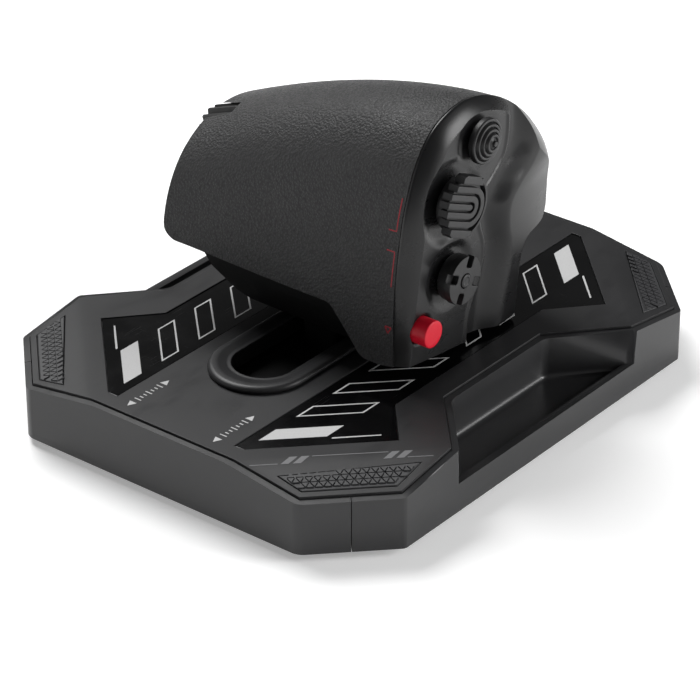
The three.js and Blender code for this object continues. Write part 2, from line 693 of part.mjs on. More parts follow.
const GROOVE_PATH = [[34, 130], [30, 112], [26, 101], [17.5, 90], [16.5, 70], [16.5, 54], [12, 40], [6, 22]];
const GROOVE_RADIUS = 8;
const GROOVE_X = 55.5;
const PLATE_EDGE_STATIONS = [[SEAM_X + GAP, 1], [48.6, 0.99], [50.6, 0.965], [PLATE_FACE_X, 0.93]];
const UNDER_PLATE = [[-FAR, 0], [FAR, 0], [FAR, 31], [20, 31], [-36, 38], [-FAR, 38]];

function circlePoints(radius, facets) {
  return Array.from({ length: facets }, (_, i) => {
    const angle = (2 * Math.PI * i) / facets;
    return [radius * Math.cos(angle), radius * Math.sin(angle)];
  });
}

function thumbPlate() {
  let plate = gripLoft(PLATE_EDGE_STATIONS).subtract(prismX(UNDER_PLATE, 0, FAR));
  const path = new THREE.CatmullRomCurve3(GROOVE_PATH.map(([y, z]) => new THREE.Vector3(GROOVE_X, y, z)));
  const groove = new THREE.ExtrudeGeometry(shapeOf(circlePoints(GROOVE_RADIUS, 16)), {
    steps: 14, extrudePath: path, bevelEnabled: false,
  });
  plate = plate.subtract(solid(groove));
  for (const control of TILTING) {
    plate = plate.subtract(rodX(RECESS_FLOOR_X, FAR, control.y, control.z, control.recess));
    plate = plate.subtract(rodX(0, FAR, control.y, control.z, STEM_HOLE, 20));
  }
  return plate.subtract(rodX(0, FAR, PUSH_BUTTON.y, PUSH_BUTTON.z, PUSH_BUTTON.radius + GAP, 24));
}

function endCap() {
  const inset = WALL_SCALE * 0.992; // just inside the shells' inner skin
  return gripLoft([[GRIP_LEFT + 1.5, inset], [GRIP_LEFT + 4, inset]])
    .subtract(block([-FAR, FAR], [-FAR, FAR], [0, PALM_EDGE_Z]))
    .subtract(dialRoom());
}

// The dark lower housing: a boat shape under the shells, open at the top.
const HOUSING_OUTER = [
  [-52, 56.2], [-44, 45], [-36, 37], [-30, 34.6], [28, 33.6], [44.5, 37], [44.5, 41.5], [32, 43.5], [29, 56.2],
];
const HOUSING_INNER = [[-48, 60], [-41, 46.5], [-33, 39.6], [-28, 37.8], [26, 37], [41.5, 40.4], [41.5, 60]];
const HOUSING_END = [[-30, 60], [-29, 46], [-24, 34], [-20, 30], [20, 30], [25, 34], [28, 46], [29, 60]];
const HOUSING_END_INNER = [[-26.5, 62], [-25.5, 48], [-20, 36], [20, 36], [21.5, 36.5], [25, 48], [26, 62]];

function gripHousing() {
  const outer = prismY([...HOUSING_OUTER].reverse(), -40, 40)
    .intersect(prismX([...HOUSING_END].reverse(), -90, 90));
  const inner = prismY([...HOUSING_INNER].reverse(), -40, 40)
    .intersect(prismX([...HOUSING_END_INNER].reverse(), -90, 90));
  return outer.subtract(inner).subtract(prismZ(neckOutline(GAP), 0, FAR));
}

const BRACKET = [[-27, 46], [-27, 92], [-12, 113], [-6, 121], [13, 121.4], [14, 60], [4, 46]];
const BRACKET_THICK = 1.5;
const GIMBAL_HOLE = 6.6;

function controlBracket() {
  let bracket = prismX([...BRACKET].reverse(), PIVOT_X - BRACKET_THICK, PIVOT_X + BRACKET_THICK);
  for (const control of TILTING) {
    bracket = bracket.subtract(rodX(0, FAR, control.y, control.z, GIMBAL_HOLE, 20));
  }
  return bracket.subtract(rodX(0, FAR, PUSH_BUTTON.y, PUSH_BUTTON.z, STEM_RADIUS + 2 * GAP, 16));
}

const GRIP_BOARD = [[-24, 46], [10, 46], [10, 104], [-12, 104], [-24, 88]];
const GRIP_BOARD_X = [31.0, 32.6];

function gripBoard() {
  return prismX(GRIP_BOARD, GRIP_BOARD_X[0], GRIP_BOARD_X[1]);
}

const RING = { radius: 5.0, half: 1.2, bore: 3.5, pinReach: 6.1, pinRadius: 0.9 };

// The ring that a stem tilts in, with its two pins along Y.
function gimbalRing({ y, z }) {
  return rodX(PIVOT_X - RING.half, PIVOT_X + RING.half, y, z, RING.radius, 20)
    .add(rodY(y - RING.pinReach, y + RING.pinReach, PIVOT_X, z, RING.pinRadius, 12))
    .subtract(rodX(0, FAR, y, z, RING.bore, 20));
}

const STEM_BEHIND = 5; // how far a stem reaches behind its pivot

function stem(control) {
  return rodX(PIVOT_X - STEM_BEHIND, CAP_BACK_X + 1, control.y, control.z, STEM_RADIUS, 16);
}

// The small stick's cap: three stepped rings round a nub.
const CAP_RINGS = { count: 3, start: 0.6, pitch: 2.1, land: 0.9, rise: 0.85, groove: 0.5, drop: 3.4 };
const NUB = { foot: 1.6, top: 1.4, height: 1.3 };

function stickCap() {
  const { radius, face } = STICK;
  const shoulder = face - CAP_RINGS.drop;
  const profile = [[0, CAP_BACK_X], [radius, CAP_BACK_X], [radius, shoulder]];
  for (let i = 0; i < CAP_RINGS.count; i += 1) {
    const outer = radius - CAP_RINGS.start - i * CAP_RINGS.pitch;
    const inner = outer - CAP_RINGS.land;
    const step = shoulder + (i + 1) * CAP_RINGS.rise;
    profile.push([outer, step], [inner, step], [inner - 0.2, step - CAP_RINGS.groove]);
  }
  profile.push([NUB.foot, face - NUB.height], [NUB.top, face], [0, face]);
  return turnedX(profile, STICK.y, STICK.z).add(stem(STICK));
}

const RIB = { pitch: 3.2, half: 1.1, each: 3, height: 1.8, root: 2 };

function ribbedHat() {
  const { y, z, radius, face } = RIBBED_HAT;
  const floor = face - RIB.root;
  const profile = [
    [0, CAP_BACK_X], [radius - 0.8, CAP_BACK_X], [radius, CAP_BACK_X + 1], [radius, floor], [0, floor],
  ];
  let hat = turnedX(profile, y, z);
  for (let i = -RIB.each; i <= RIB.each; i += 1) {
    const offset = i * RIB.pitch;
    const half = Math.sqrt(radius ** 2 - (Math.abs(offset) + RIB.half) ** 2) - 0.2;
    const rib = [z + offset - RIB.half, z + offset + RIB.half];
    hat = hat.add(block([floor - 1, floor + RIB.height], [y - half, y + half], rib));
  }
  return hat.add(stem(RIBBED_HAT));
}

const CENTRE_RADIUS = 2.6;
const CENTRE_SEAT = 3.2; // depth of the hat's middle hole
const NOTCH = { width: 4.2, depth: 2.2, inner: 4.4, length: 6 };

function notchedHat() {
  const { y, z, radius, face } = NOTCHED_HAT;
  const profile = [
    [0, CAP_BACK_X], [radius, CAP_BACK_X], [radius, face - 0.6], [radius - 0.6, face], [0, face],
  ];
  let hat = turnedX(profile, y, z);
  for (let i = 0; i < 4; i += 1) {
    const notch = new THREE.BoxGeometry(2 * NOTCH.depth, NOTCH.length, NOTCH.width)
      .translate(face, NOTCH.inner + NOTCH.length / 2, 0)
      .rotateX((Math.PI / 2) * i);
    hat = hat.subtract(solid(notch).translate([0, y, z]));
  }
  return hat.subtract(rodX(face - CENTRE_SEAT, FAR, y, z, CENTRE_RADIUS + GAP, 20)).add(stem(NOTCHED_HAT));
}

function hatCentre() {
  const { y, z, face } = NOTCHED_HAT;
  return rodX(face - CENTRE_SEAT + 1.4, face + GAP, y, z, CENTRE_RADIUS, 20);
}

function pushButton() {
  const { y, z, radius, face, back, stemEnd } = PUSH_BUTTON;
  const edge = 0.9;
  const profile = [[0, back], [radius, back], [radius, face - edge], [radius - edge, face], [0, face]];
  return turnedX(profile, y, z, 24).add(rodX(stemEnd, back + 1, y, z, STEM_RADIUS - GAP, 14));
}

const DIAL_SHAFT = { radius: 3, length: 12 };
const DIAL_CASE = { length: 6, side: 13 };
const DIAL_RIB_HEIGHT = 0.9;

// Puts a piece drawn round the X axis onto the dial's tilted axis.
function onDialAxis(body) {
  return solid(geometryOf(body).rotateY(-DIAL.tilt).translate(DIAL.x, DIAL.y, DIAL.z));
}

function dialKnob() {
  const outline = [];
  for (let i = 0; i < DIAL_RIBS * 4; i += 1) {
    const angle = (2 * Math.PI * i) / (DIAL_RIBS * 4);
    const radius = DIAL.radius - (i % 4 < 2 ? 0 : DIAL_RIB_HEIGHT);
    outline.push([radius * Math.cos(angle), radius * Math.sin(angle)]);
  }
  const wheel = extruded(outline, 2 * DIAL.half).applyMatrix4(TURN_YZ).translate(-DIAL.half, 0, 0);
  const bore = rodX(-4, 2 * DIAL.half, 0, 0, DIAL_SHAFT.radius + GAP, 16);
  return onDialAxis(solid(wheel).subtract(bore));
}

function dialEncoder() {
  const shaftEnd = DIAL.half + 5;
  const caseStart = DIAL.half + 2.5;
  const half = DIAL_CASE.side / 2;
  const shaft = rodX(shaftEnd - DIAL_SHAFT.length, shaftEnd, 0, 0, DIAL_SHAFT.radius, 16);
  const body = block([caseStart, caseStart + DIAL_CASE.length], [-half, half], [-half, half]);
  return onDialAxis(shaft.add(body));
}

// Finger side controls.
const PADDLE = { x: -6, z: 72, stem: 4, hole: 6.2, pivotY: 40, half: 27, halfHeight: 8, front: 61.6 };
const PADDLE_FLAT = 6; // half width of its middle
const FINGER_BUTTONS = [{ x: 30, z: 88, radius: 5, back: 38 }, { x: -44, z: 76, radius: 5, back: 38 }];

function rudderPaddle() {
  const { x, z, front, half, halfHeight } = PADDLE;
  const right = [
    [x + PADDLE_FLAT, front - 2.4], [x + half, front - 4],
    [x + half - 2, front], [x + PADDLE_FLAT, front + 1.4],
  ];
  const left = right.map(([a, b]) => [2 * x - a, b]).reverse();
  return prismZ([...right, ...left], z - halfHeight, z + halfHeight)
    .add(rodY(PADDLE.pivotY - 3, front, x, z, PADDLE.stem, 18));
}

// How far forward the shell stands at a finger button.
function fingerSideY(x, z) {
  const near = sectionCurve((x - GRIP_LEFT) / LOFT_LENGTH).getSpacedPoints(120)
    .filter((p) => p.x > GRIP_MID_Y && Math.abs(p.y - z) < 3);
  return Math.max(...near.map((p) => p.x));
}

function fingerButton({ x, z, radius, back }) {
  return rodY(back, fingerSideY(x, z) + 1.6, x, z, radius, 20);
}

// ---------------------------------------------------------------- assembly
const part = new THREE.Group();

function addPiece(name, body, colour) {
  const mesh = new THREE.Mesh(geometryOf(body), material(colour));
  mesh.name = name;
  part.add(mesh);
}

const ring = skirtRing();
const skin = gripSkin();
const CORNER_NAMES = ["far_right", "far_left", "near_left", "near_right"];

addPiece("base_tray", baseTray(), "casing");
addPiece("top_cover", topCover(), "casing");
addPiece("front_bezel", endBezel(ring, -1), "casing");
addPiece("rear_bezel", endBezel(ring, 1), "casing");
addPiece("right_skirt", sideSkirt(ring, 1), "casing");
addPiece("left_skirt", sideSkirt(ring, -1), "casing");
addPiece("right_panel", glossPanel(1), "gloss");
addPiece("left_panel", glossPanel(-1), "gloss");
corners((sideX, sideY) => cornerPad(sideX, sideY))
  .forEach((pad, i) => addPiece(`corner_pad_${CORNER_NAMES[i]}`, pad, "pad"));
addPiece("slot_collar", slotCollar(), "casing");
CORNER_NAMES.forEach((corner, i) => {
  addPiece(`base_screw_${corner}`, baseScrew(SCREW_PLACES[i]), "steel");
  addPiece(`foot_${corner}`, rubberFoot(FOOT_PLACES[i]), "rubber");
});
addPiece("guide_rail_right", guideRail(1), "steel");
addPiece("guide_rail_left", guideRail(-1), "steel");
addPiece("rail_block_rear", railBlock(1), "inner");
addPiece("rail_block_front", railBlock(-1), "inner");
addPiece("ballast_bar_right", ballastBar(1), "steel");
addPiece("ballast_bar_left", ballastBar(-1), "steel");
addPiece("main_board", mainBoard(), "board");
addPiece("usb_socket", socketShell(USB), "steel");
addPiece("pedal_socket", socketShell(PEDAL), "inner");
addPiece("sensor_strip", sensorStrip(), "board");
addPiece("brake_shoe", brakeShoe(), "brass");
addPiece("tension_screw", tensionScrew(), "steel");
addPiece("carriage", carriage(), "inner");
addPiece("slide_bush_right", bush(1), "brass");
addPiece("slide_bush_left", bush(-1), "brass");
addPiece("sensor_magnet", sensorMagnet(), "steel");
addPiece("slot_shutter", slotShutter(), "inner");
addPiece("neck", neck(), "inner");
addPiece("grip_housing", gripHousing(), "inner");
addPiece("palm_shell", palmShell(skin), "shell");
addPiece("finger_shell", fingerShell(skin), "shell");
addPiece("thumb_plate", thumbPlate(), "casing");
addPiece("grip_end_cap", endCap(), "inner");
addPiece("control_bracket", controlBracket(), "inner");
addPiece("grip_board", gripBoard(), "board");
addPiece("stick_gimbal", gimbalRing(STICK), "white");
addPiece("stick_cap", stickCap(), "rubber");
addPiece("ribbed_hat_gimbal", gimbalRing(RIBBED_HAT), "white");
addPiece("ribbed_hat", ribbedHat(), "rubber");
addPiece("notched_hat_gimbal", gimbalRing(NOTCHED_HAT), "white");
addPiece("notched_hat", notchedHat(), "rubber");
addPiece("notched_hat_centre", hatCentre(), "rubber");
addPiece("thumb_button", pushButton(), "red");
addPiece("dial_knob", dialKnob(), "rubber");
addPiece("dial_encoder", dialEncoder(), "inner");
addPiece("rudder_paddle", rudderPaddle(), "casing");
addPiece("index_button", fingerButton(FINGER_BUTTONS[0]), "casing");
addPiece("ring_button", fingerButton(FINGER_BUTTONS[1]), "casing");

export default part;
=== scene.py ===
"""Sliding throttle unit: desk base with side shelves, and a palm grip that slides in a slot.

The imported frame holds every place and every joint. This script dresses it: it models the visible
shells, panels, pads, hats and knobs in finer detail, and gives every piece its finish.
Sizes are in millimetres until a piece is settled, and in metres from there on.
"""

import functools
import json
import logging
import math
from dataclasses import dataclass, field
from enum import Enum
from typing import Callable, Iterable, Sequence

import bmesh
import bpy
import numpy as np
from mathutils import Matrix, Vector


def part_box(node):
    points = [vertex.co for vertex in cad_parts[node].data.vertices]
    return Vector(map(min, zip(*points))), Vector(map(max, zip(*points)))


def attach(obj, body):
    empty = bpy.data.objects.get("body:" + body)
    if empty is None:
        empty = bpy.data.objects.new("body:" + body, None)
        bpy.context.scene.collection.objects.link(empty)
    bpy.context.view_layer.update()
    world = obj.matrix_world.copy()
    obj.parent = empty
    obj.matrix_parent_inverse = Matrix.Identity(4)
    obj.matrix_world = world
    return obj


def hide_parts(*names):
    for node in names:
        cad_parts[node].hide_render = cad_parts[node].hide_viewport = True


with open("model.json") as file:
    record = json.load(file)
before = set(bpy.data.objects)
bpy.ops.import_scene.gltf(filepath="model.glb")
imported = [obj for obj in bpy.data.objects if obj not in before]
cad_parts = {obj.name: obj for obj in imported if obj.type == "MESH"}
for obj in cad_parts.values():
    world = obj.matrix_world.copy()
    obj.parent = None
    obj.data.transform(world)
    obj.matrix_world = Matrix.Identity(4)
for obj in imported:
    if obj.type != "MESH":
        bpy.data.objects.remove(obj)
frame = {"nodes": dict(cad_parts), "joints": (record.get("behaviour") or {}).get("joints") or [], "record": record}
log = logging.getLogger("throttle")

MM = 0.001
MERGE = 0.004
PROUD_OF_SKIN = 0.06
Point = tuple[float, float]
Colour = tuple[float, float, float]
Mesh = bmesh.types.BMesh
Vert = bmesh.types.BMVert
Edge = bmesh.types.BMEdge


class Body(Enum):
    """Moving bodies of the frame that pieces ride on."""

    BASE = "base"
    GRIP = "throttle"
    STICK = "stick"
    RIBBED_HAT = "ribbed_hat"
    NOTCHED_HAT = "notched_hat"
    NOTCHED_CENTRE = "notched_centre"
    THUMB_BUTTON = "thumb_button"
    DIAL = "dial"
    PADDLE = "rudder_paddle"
    INDEX = "index_button"
    RING = "ring_button"


# ---------------------------------------------------------------- shader maths
class Value:
    """A shader socket that takes part in Python expressions."""

    def __init__(self, tree: "Tree", socket: bpy.types.NodeSocket) -> None:
        """Wraps one output socket of a tree."""
        self.tree = tree
        self.socket = socket

    def _maths(self, operation: str, first: object, second: object) -> "Value":
        """Adds one Math node for first OPERATION second."""
        made = self.tree.node("ShaderNodeMath", {"operation": operation}, {0: first, 1: second})
        return Value(self.tree, made.outputs[0])

    def __add__(self, other: object) -> "Value":
        """Sum."""
        return self._maths("ADD", self, other)

    __radd__ = __add__

    def __mul__(self, other: object) -> "Value":
        """Product."""
        return self._maths("MULTIPLY", self, other)

    __rmul__ = __mul__

    def __sub__(self, other: object) -> "Value":
        """Difference."""
        return self._maths("SUBTRACT", self, other)

    def __rsub__(self, other: object) -> "Value":
        """Difference with the number first."""
        return self._maths("SUBTRACT", other, self)

    def above(self, limit: float, softness: float) -> "Value":
        """A mask that is 1 where the value is over a limit.

        Args:
            limit: Middle of the step.
            softness: Width of the step.

        Returns:
            A value from 0 to 1.
        """
        made = self.tree.node(
            "ShaderNodeMapRange",
            {"interpolation_type": "SMOOTHSTEP"},
            {"Value": self, "From Min": limit - softness / 2, "From Max": limit + softness / 2},
        )
        return Value(self.tree, made.outputs[0])


class Tree:
    """A material's node tree, built by calls."""

    def __init__(self, name: str) -> None:
        """Makes an empty material with its output node."""
        self.material = bpy.data.materials.new(name)
        self.material.use_nodes = True
        self.nodes = self.material.node_tree.nodes
        self.nodes.clear()
        self.place = self.node("ShaderNodeTexCoord", {}, {}).outputs["Object"]

    def node(self, kind: str, settings: dict, inputs: dict) -> bpy.types.Node:
        """Adds a node.

        Args:
            kind: Node type.
            settings: Properties, set before the sockets.
            inputs: Values or links, by socket name or number.

        Returns:
            The new node.
        """
        made = self.nodes.new(kind)
        for key, setting in settings.items():
            setattr(made, key, setting)
        for key, given in inputs.items():
            source = given.socket if isinstance(given, Value) else given
            if isinstance(source, bpy.types.NodeSocket):
                self.material.node_tree.links.new(source, made.inputs[key])
            else:
                made.inputs[key].default_value = source
        return made

    def mapped(self, scale: Sequence[float], turn: Sequence[float] = (0, 0, 0)) -> bpy.types.NodeSocket:
        """Object coordinates, scaled and turned."""
        inputs = {"Vector": self.place, "Scale": scale, "Rotation": turn}
        return self.node("ShaderNodeMapping", {}, inputs).outputs[0]

    def noise(self, size: float, detail: float = 2.0, stretch: Sequence[float] = (1, 1, 1)) -> Value:
        """Noise whose features are about size millimetres across."""
        vector = self.mapped([part / (size * MM) for part in stretch])
        inputs = {"Vector": vector, "Scale": 1.0, "Detail": detail, "Roughness": 0.55}
        return Value(self, self.node("ShaderNodeTexNoise", {}, inputs).outputs[0])

    def cells(self, size: float) -> Value:
        """Distance pattern of cells about size millimetres across."""
        inputs = {"Vector": self.mapped([1 / (size * MM)] * 3), "Scale": 1.0}
        made = self.node("ShaderNodeTexVoronoi", {"feature": "F1"}, inputs)
        return Value(self, made.outputs["Distance"])

    def mix(self, share: Value, low: Sequence[float], high: Sequence[float]) -> bpy.types.NodeSocket:
        """Mixes two colours by a value."""
        inputs = {"Factor": share, 6: (*low, 1.0), 7: (*high, 1.0)}
        return self.node("ShaderNodeMix", {"data_type": "RGBA"}, inputs).outputs[2]

    def bump(self, height: Value, depth: float, strength: float) -> bpy.types.NodeSocket:
        """A Bump node's normal for a relief depth in millimetres."""
        inputs = {"Height": height, "Distance": depth * MM, "Strength": strength}
        return self.node("ShaderNodeBump", {}, inputs).outputs[0]

    def close(self, inputs: dict) -> bpy.types.Material:
        """Ends the tree in a Principled shader.

        Args:
            inputs: Its sockets' values or links.

        Returns:
            The finished material.
        """
        shader = self.node("ShaderNodeBsdfPrincipled", {}, inputs)
        self.node("ShaderNodeOutputMaterial", {}, {"Surface": shader.outputs[0]})
        return self.material


def shade(colour: Sequence[float], factor: float) -> Colour:
    """A colour made lighter or darker."""
    return tuple(min(1.0, part * factor) for part in colour)


# ---------------------------------------------------------------- finishes
@dataclass(frozen=True)
class Moulded:
    """Moulded plastic or rubber: eroded grain, slow colour drift, rubbed patches and fine dust."""

    name: str
    colour: Colour
    roughness: float
    grain: float = 0.5
    depth: float = 0.03
    strength: float = 0.6
    speckle: float = 0.12
    rubbed: float = 0.06
    specular: float = 0.5
    sparkle: float = 0.0

    @functools.lru_cache(maxsize=None)
    def material(self) -> bpy.types.Material:
        """Builds the material once."""
        tree = Tree(self.name)
        pebbles = tree.cells(self.grain) * 0.7 + tree.noise(self.grain * 0.45, 3) * 0.6
        drift = tree.noise(34, 2)
        dust = tree.noise(0.9, 4).above(0.70, 0.08) * tree.noise(13, 2).above(0.55, 0.3)
        rub = tree.noise(9, 4, (1, 0.4, 1)).above(0.60, 0.2)
        tone = pebbles * (self.speckle * 2) + drift * 0.5 + dust * 0.12 + 0.1
        return tree.close({
            "Base Color": tree.mix(tone, shade(self.colour, 0.80), shade(self.colour, 1.34)),
            "Roughness": self.roughness + (drift - 0.5) * 0.10 - rub * self.rubbed + dust * 0.1
                         + (pebbles - 0.6) * self.sparkle,
            "Normal": tree.bump(pebbles, self.depth, self.strength),
            "Specular IOR Level": self.specular,
        })


@dataclass(frozen=True)
class Polished:
    """Polished black plastic with hairline scratches, faint ripples and settled dust."""

    name: str
    colour: Colour
    roughness: float

    @functools.lru_cache(maxsize=None)
    def material(self) -> bpy.types.Material:
        """Builds the material once."""
        tree = Tree(self.name)
        hair = tree.noise(0.35, 2, (1, 0.02, 1)).above(0.70, 0.05)
        cross = tree.noise(0.35, 2, (0.03, 1, 1)).above(0.72, 0.05)
        smear = tree.noise(17, 4).above(0.52, 0.3)
        dust = tree.noise(0.55, 3).above(0.73, 0.04)
        ripple = tree.noise(6, 1)
        return tree.close({
            "Base Color": tree.mix(dust * 0.35 + smear * 0.1, self.colour, shade(self.colour, 6)),
            "Roughness": self.roughness + smear * 0.07 + (hair + cross) * 0.12 + dust * 0.2,
            "Normal": tree.bump(ripple + (hair + cross) * 0.04, 0.05, 0.12),
            "Specular IOR Level": 0.36,
        })


@dataclass(frozen=True)
class Metal:
    """Machined metal with tool lines and a tarnish that varies."""

    name: str
    colour: Colour
    roughness: float
    lines: tuple[float, float, float] = (1, 1, 0.04)

    @functools.lru_cache(maxsize=None)
    def material(self) -> bpy.types.Material:
        """Builds the material once."""
        tree = Tree(self.name)
        tool = tree.noise(0.3, 2, self.lines)
        stain = tree.noise(5, 4).above(0.55, 0.3)
        return tree.close({
            "Base Color": tree.mix(stain * 0.5 + tool * 0.3, self.colour, shade(self.colour, 0.6)),
            "Metallic": 1.0,
            "Roughness": self.roughness + stain * 0.12 + (tool - 0.5) * 0.15,
            "Normal": tree.bump(tool, 0.01, 0.4),
        })


@dataclass(frozen=True)
class CircuitBoard:
    """Green solder mask over copper tracks and tinned pads."""

    name: str

    @functools.lru_cache(maxsize=None)
    def material(self) -> bpy.types.Material:
        """Builds the material once."""
        tree = Tree(self.name)
        brick = tree.node("ShaderNodeTexBrick", {"offset": 0.4}, {
            "Vector": tree.mapped([1 / MM] * 3), "Scale": 0.22, "Mortar Size": 0.06,
            "Brick Width": 1.6, "Row Height": 0.7,
        })
        track = Value(tree, brick.outputs["Fac"])
        pads = 1 - tree.cells(5.0).above(0.16, 0.02)
        mask = tree.mix(track, (0.012, 0.10, 0.04), (0.02, 0.17, 0.07))
        tinned = {"Factor": pads, 6: mask, 7: (0.6, 0.6, 0.58, 1)}
        both = tree.node("ShaderNodeMix", {"data_type": "RGBA"}, tinned)
        return tree.close({
            "Base Color": both.outputs[2],
            "Roughness": 0.32 + tree.noise(7, 3) * 0.15,
            "Metallic": pads * 0.8,
            "Normal": tree.bump(track * 0.5 + pads, 0.03, 0.5),
        })


@dataclass(frozen=True)
class Ink:
    """Pad-printed ink with worn speckles."""

    name: str
    colour: Colour
    worn: float = 0.2

    @functools.lru_cache(maxsize=None)
    def material(self) -> bpy.types.Material:
        """Builds the material once."""
        tree = Tree(self.name)
        wear = tree.noise(0.5, 4).above(0.62, 0.14)
        return tree.close({
            "Base Color": tree.mix(wear * self.worn, self.colour, shade(self.colour, 0.45)),
            "Roughness": 0.42 + wear * 0.2,
            "Normal": tree.bump(tree.noise(0.3, 2), 0.01, 0.3),
            "Specular IOR Level": 0.35,
        })


CASING = Moulded("casing satin", (0.017, 0.017, 0.018), 0.44, grain=0.42, speckle=0.14, specular=0.38)
RIM_CASING = Moulded("skirt satin", (0.018, 0.018, 0.019), 0.36, grain=0.42, depth=0.02, speckle=0.12)
GRIP_SKIN = Moulded("grip pebbled", (0.0105, 0.0105, 0.011), 0.52, grain=0.95, depth=0.36, strength=1.0,
                    speckle=0.7, sparkle=0.5)
THUMB_SKIN = Moulded("thumb plate satin", (0.008, 0.008, 0.0084), 0.31, grain=0.3, depth=0.012, speckle=0.08,
                     specular=0.32)
PAD_GRIP = Moulded("pad relief", (0.026, 0.026, 0.028), 0.50, grain=0.3, depth=0.02, speckle=0.18)
# Black plastic of the inner parts, darkened past its own colour as painted shade for the slot shutter and the
# housing under the palm shell.
INNER_BLACK_WITH_PAINTED_SHADE = Moulded("inner black with painted shade", (0.003, 0.003, 0.0032), 0.60, grain=0.6, specular=0.18)
RUBBER = Moulded("control rubber", (0.011, 0.011, 0.0115), 0.46, grain=0.22, depth=0.02, speckle=0.22,
                 specular=0.4)
FOOT_RUBBER = Moulded("foot rubber", (0.014, 0.014, 0.014), 0.85, depth=0.04, speckle=0.3, specular=0.3)
RED = Moulded("red button", (0.56, 0.004, 0.020), 0.38, grain=0.25, depth=0.008, speckle=0.05,
              specular=0.3)
ACETAL = Moulded("natural acetal", (0.68, 0.66, 0.60), 0.40, depth=0.01, speckle=0.05)
GLOSS = Polished("panel gloss", (0.0018, 0.0018, 0.002), 0.13)
STEEL = Metal("ground steel", (0.60, 0.61, 0.63), 0.24, (1, 0.03, 1))
BRASS = Metal("turned brass", (0.62, 0.44, 0.18), 0.30)
BOARD = CircuitBoard("circuit board")
WHITE_INK = Ink("pale ink", (0.55, 0.55, 0.55))
GREY_INK = Ink("grey ink", (0.16, 0.16, 0.165))
RED_INK = Ink("red ink", (0.30, 0.012, 0.022), 0.4)


# ---------------------------------------------------------------- mesh tools
def box_mm(node: str) -> tuple[Vector, Vector]:
    """Lowest and highest corners of a node at rest, in millimetres."""
    low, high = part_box(node)
    return Vector(low) / MM, Vector(high) / MM


def settle(
    name: str, bm: Mesh, body: Body, finish: object,
    replaces: Iterable[str] = (), sharp: float = 38.0, keep_normals: bool = False,
) -> bpy.types.Object:
    """Turns a bmesh in millimetres into a finished piece.

    Args:
        name: Piece name.
        bm: The shape; it is freed.
        body: Body that the piece rides on.
        finish: The finish that dresses it.
        replaces: CAD nodes that it stands for.
        sharp: Edges over this angle in degrees stay crisp.
        keep_normals: True where faces already point outwards.

    Returns:
        The piece.
    """
    bmesh.ops.remove_doubles(bm, verts=bm.verts[:], dist=MERGE)
    if not keep_normals:
        bmesh.ops.recalc_face_normals(bm, faces=bm.faces[:])
    bmesh.ops.scale(bm, verts=bm.verts[:], vec=(MM, MM, MM))
    mesh = bpy.data.meshes.new(name)
    bm.to_mesh(mesh)
    bm.free()
    mesh.shade_smooth()
    mesh.set_sharp_from_angle(angle=math.radians(sharp))
    piece = bpy.data.objects.new(name, mesh)
    bpy.context.scene.collection.objects.link(piece)
    mesh.materials.append(finish.material())
    weighted = piece.modifiers.new("flat faces stay flat", "WEIGHTED_NORMAL")
    weighted.keep_sharp = True
    nodes = list(replaces)
    if nodes:
        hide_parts(*nodes)
    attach(piece, body.value)
    log.info("%s: %d faces", name, len(mesh.polygons))
    return piece


def node_copy(node: str) -> Mesh:
    """A merged copy of a CAD node, in millimetres, with flat regions joined.

    Args:
        node: Its name.

    Returns:
        The copy.
    """
    bm = bmesh.new()
    bm.from_mesh(frame["nodes"][node].data)
    bmesh.ops.scale(bm, verts=bm.verts[:], vec=(1 / MM, 1 / MM, 1 / MM))
    bmesh.ops.remove_doubles(bm, verts=bm.verts[:], dist=MERGE)
    bmesh.ops.dissolve_limit(bm, angle_limit=math.radians(0.6), verts=bm.verts[:], edges=bm.edges[:])
    return bm


def bevelled(bm: Mesh, edges: list[Edge], width: float, segments: int) -> Mesh:
    """Rounds the given edges of a mesh.

    Args:
        bm: The mesh.
        edges: Edges to round.
        width: Bevel width in millimetres.
        segments: Steps round each edge.

    Returns:
        The same mesh.
    """
    bmesh.ops.bevel(
        bm, geom=edges, offset=width, offset_type="OFFSET", segments=segments, profile=0.5,
        affect="EDGES", clamp_overlap=True, material=-1,
    )
    return bm


def extruded(bm: Mesh, shift: Sequence[float]) -> list[Vert]:
    """Extrudes every face of a mesh.

    Args:
        bm: The mesh.
        shift: How far the new faces move.

    Returns:
        The vertices of the new faces.
    """
    made = bmesh.ops.extrude_face_region(bm, geom=bm.faces[:])
    lifted = [item for item in made["geom"] if isinstance(item, Vert)]
    bmesh.ops.translate(bm, verts=lifted, vec=shift)
    return lifted


def round_edges(
    bm: Mesh, width: float, segments: int = 2, angle: float = 30.0,
    wanted: Callable[[Edge], bool] = lambda edge: True,
) -> Mesh:
    """Rounds the sharp edges of a mesh.

    Args:
        bm: The mesh.
        width: Bevel width in millimetres.
        segments: Steps round each edge.
        angle: Only edges over this angle, in degrees, are rounded.
        wanted: A further test of each edge.

    Returns:
        The same mesh.
    """
    limit = math.radians(angle)
    edges = [
        edge for edge in bm.edges
        if len(edge.link_faces) == 2 and edge.calc_face_angle() > limit and wanted(edge)
    ]
    return bevelled(bm, edges, width, segments)


def rings_joined(bm: Mesh, rings: list[list[Vert]], closed: bool) -> None:
    """Bridges each ring of vertices to the next, and the last to the first where it is closed.

    Args:
        bm: The mesh.
        rings: Rings of the same size, in order.
        closed: True where the last ring leads back to the first.
    """
    pairs = list(zip(rings, rings[1:]))
    if closed:
        pairs.append((rings[-1], rings[0]))
    for first, second in pairs:
        edges = {edge for ring in (first, second) for vert in ring for edge in vert.link_edges}
        inside = set(first) | set(second)
        kept = [
            edge for edge in edges
            if edge.verts[0] in inside and edge.verts[1] in inside
            and (edge.verts[0] in first) == (edge.verts[1] in first)
        ]
        bmesh.ops.bridge_loops(bm, edges=kept)


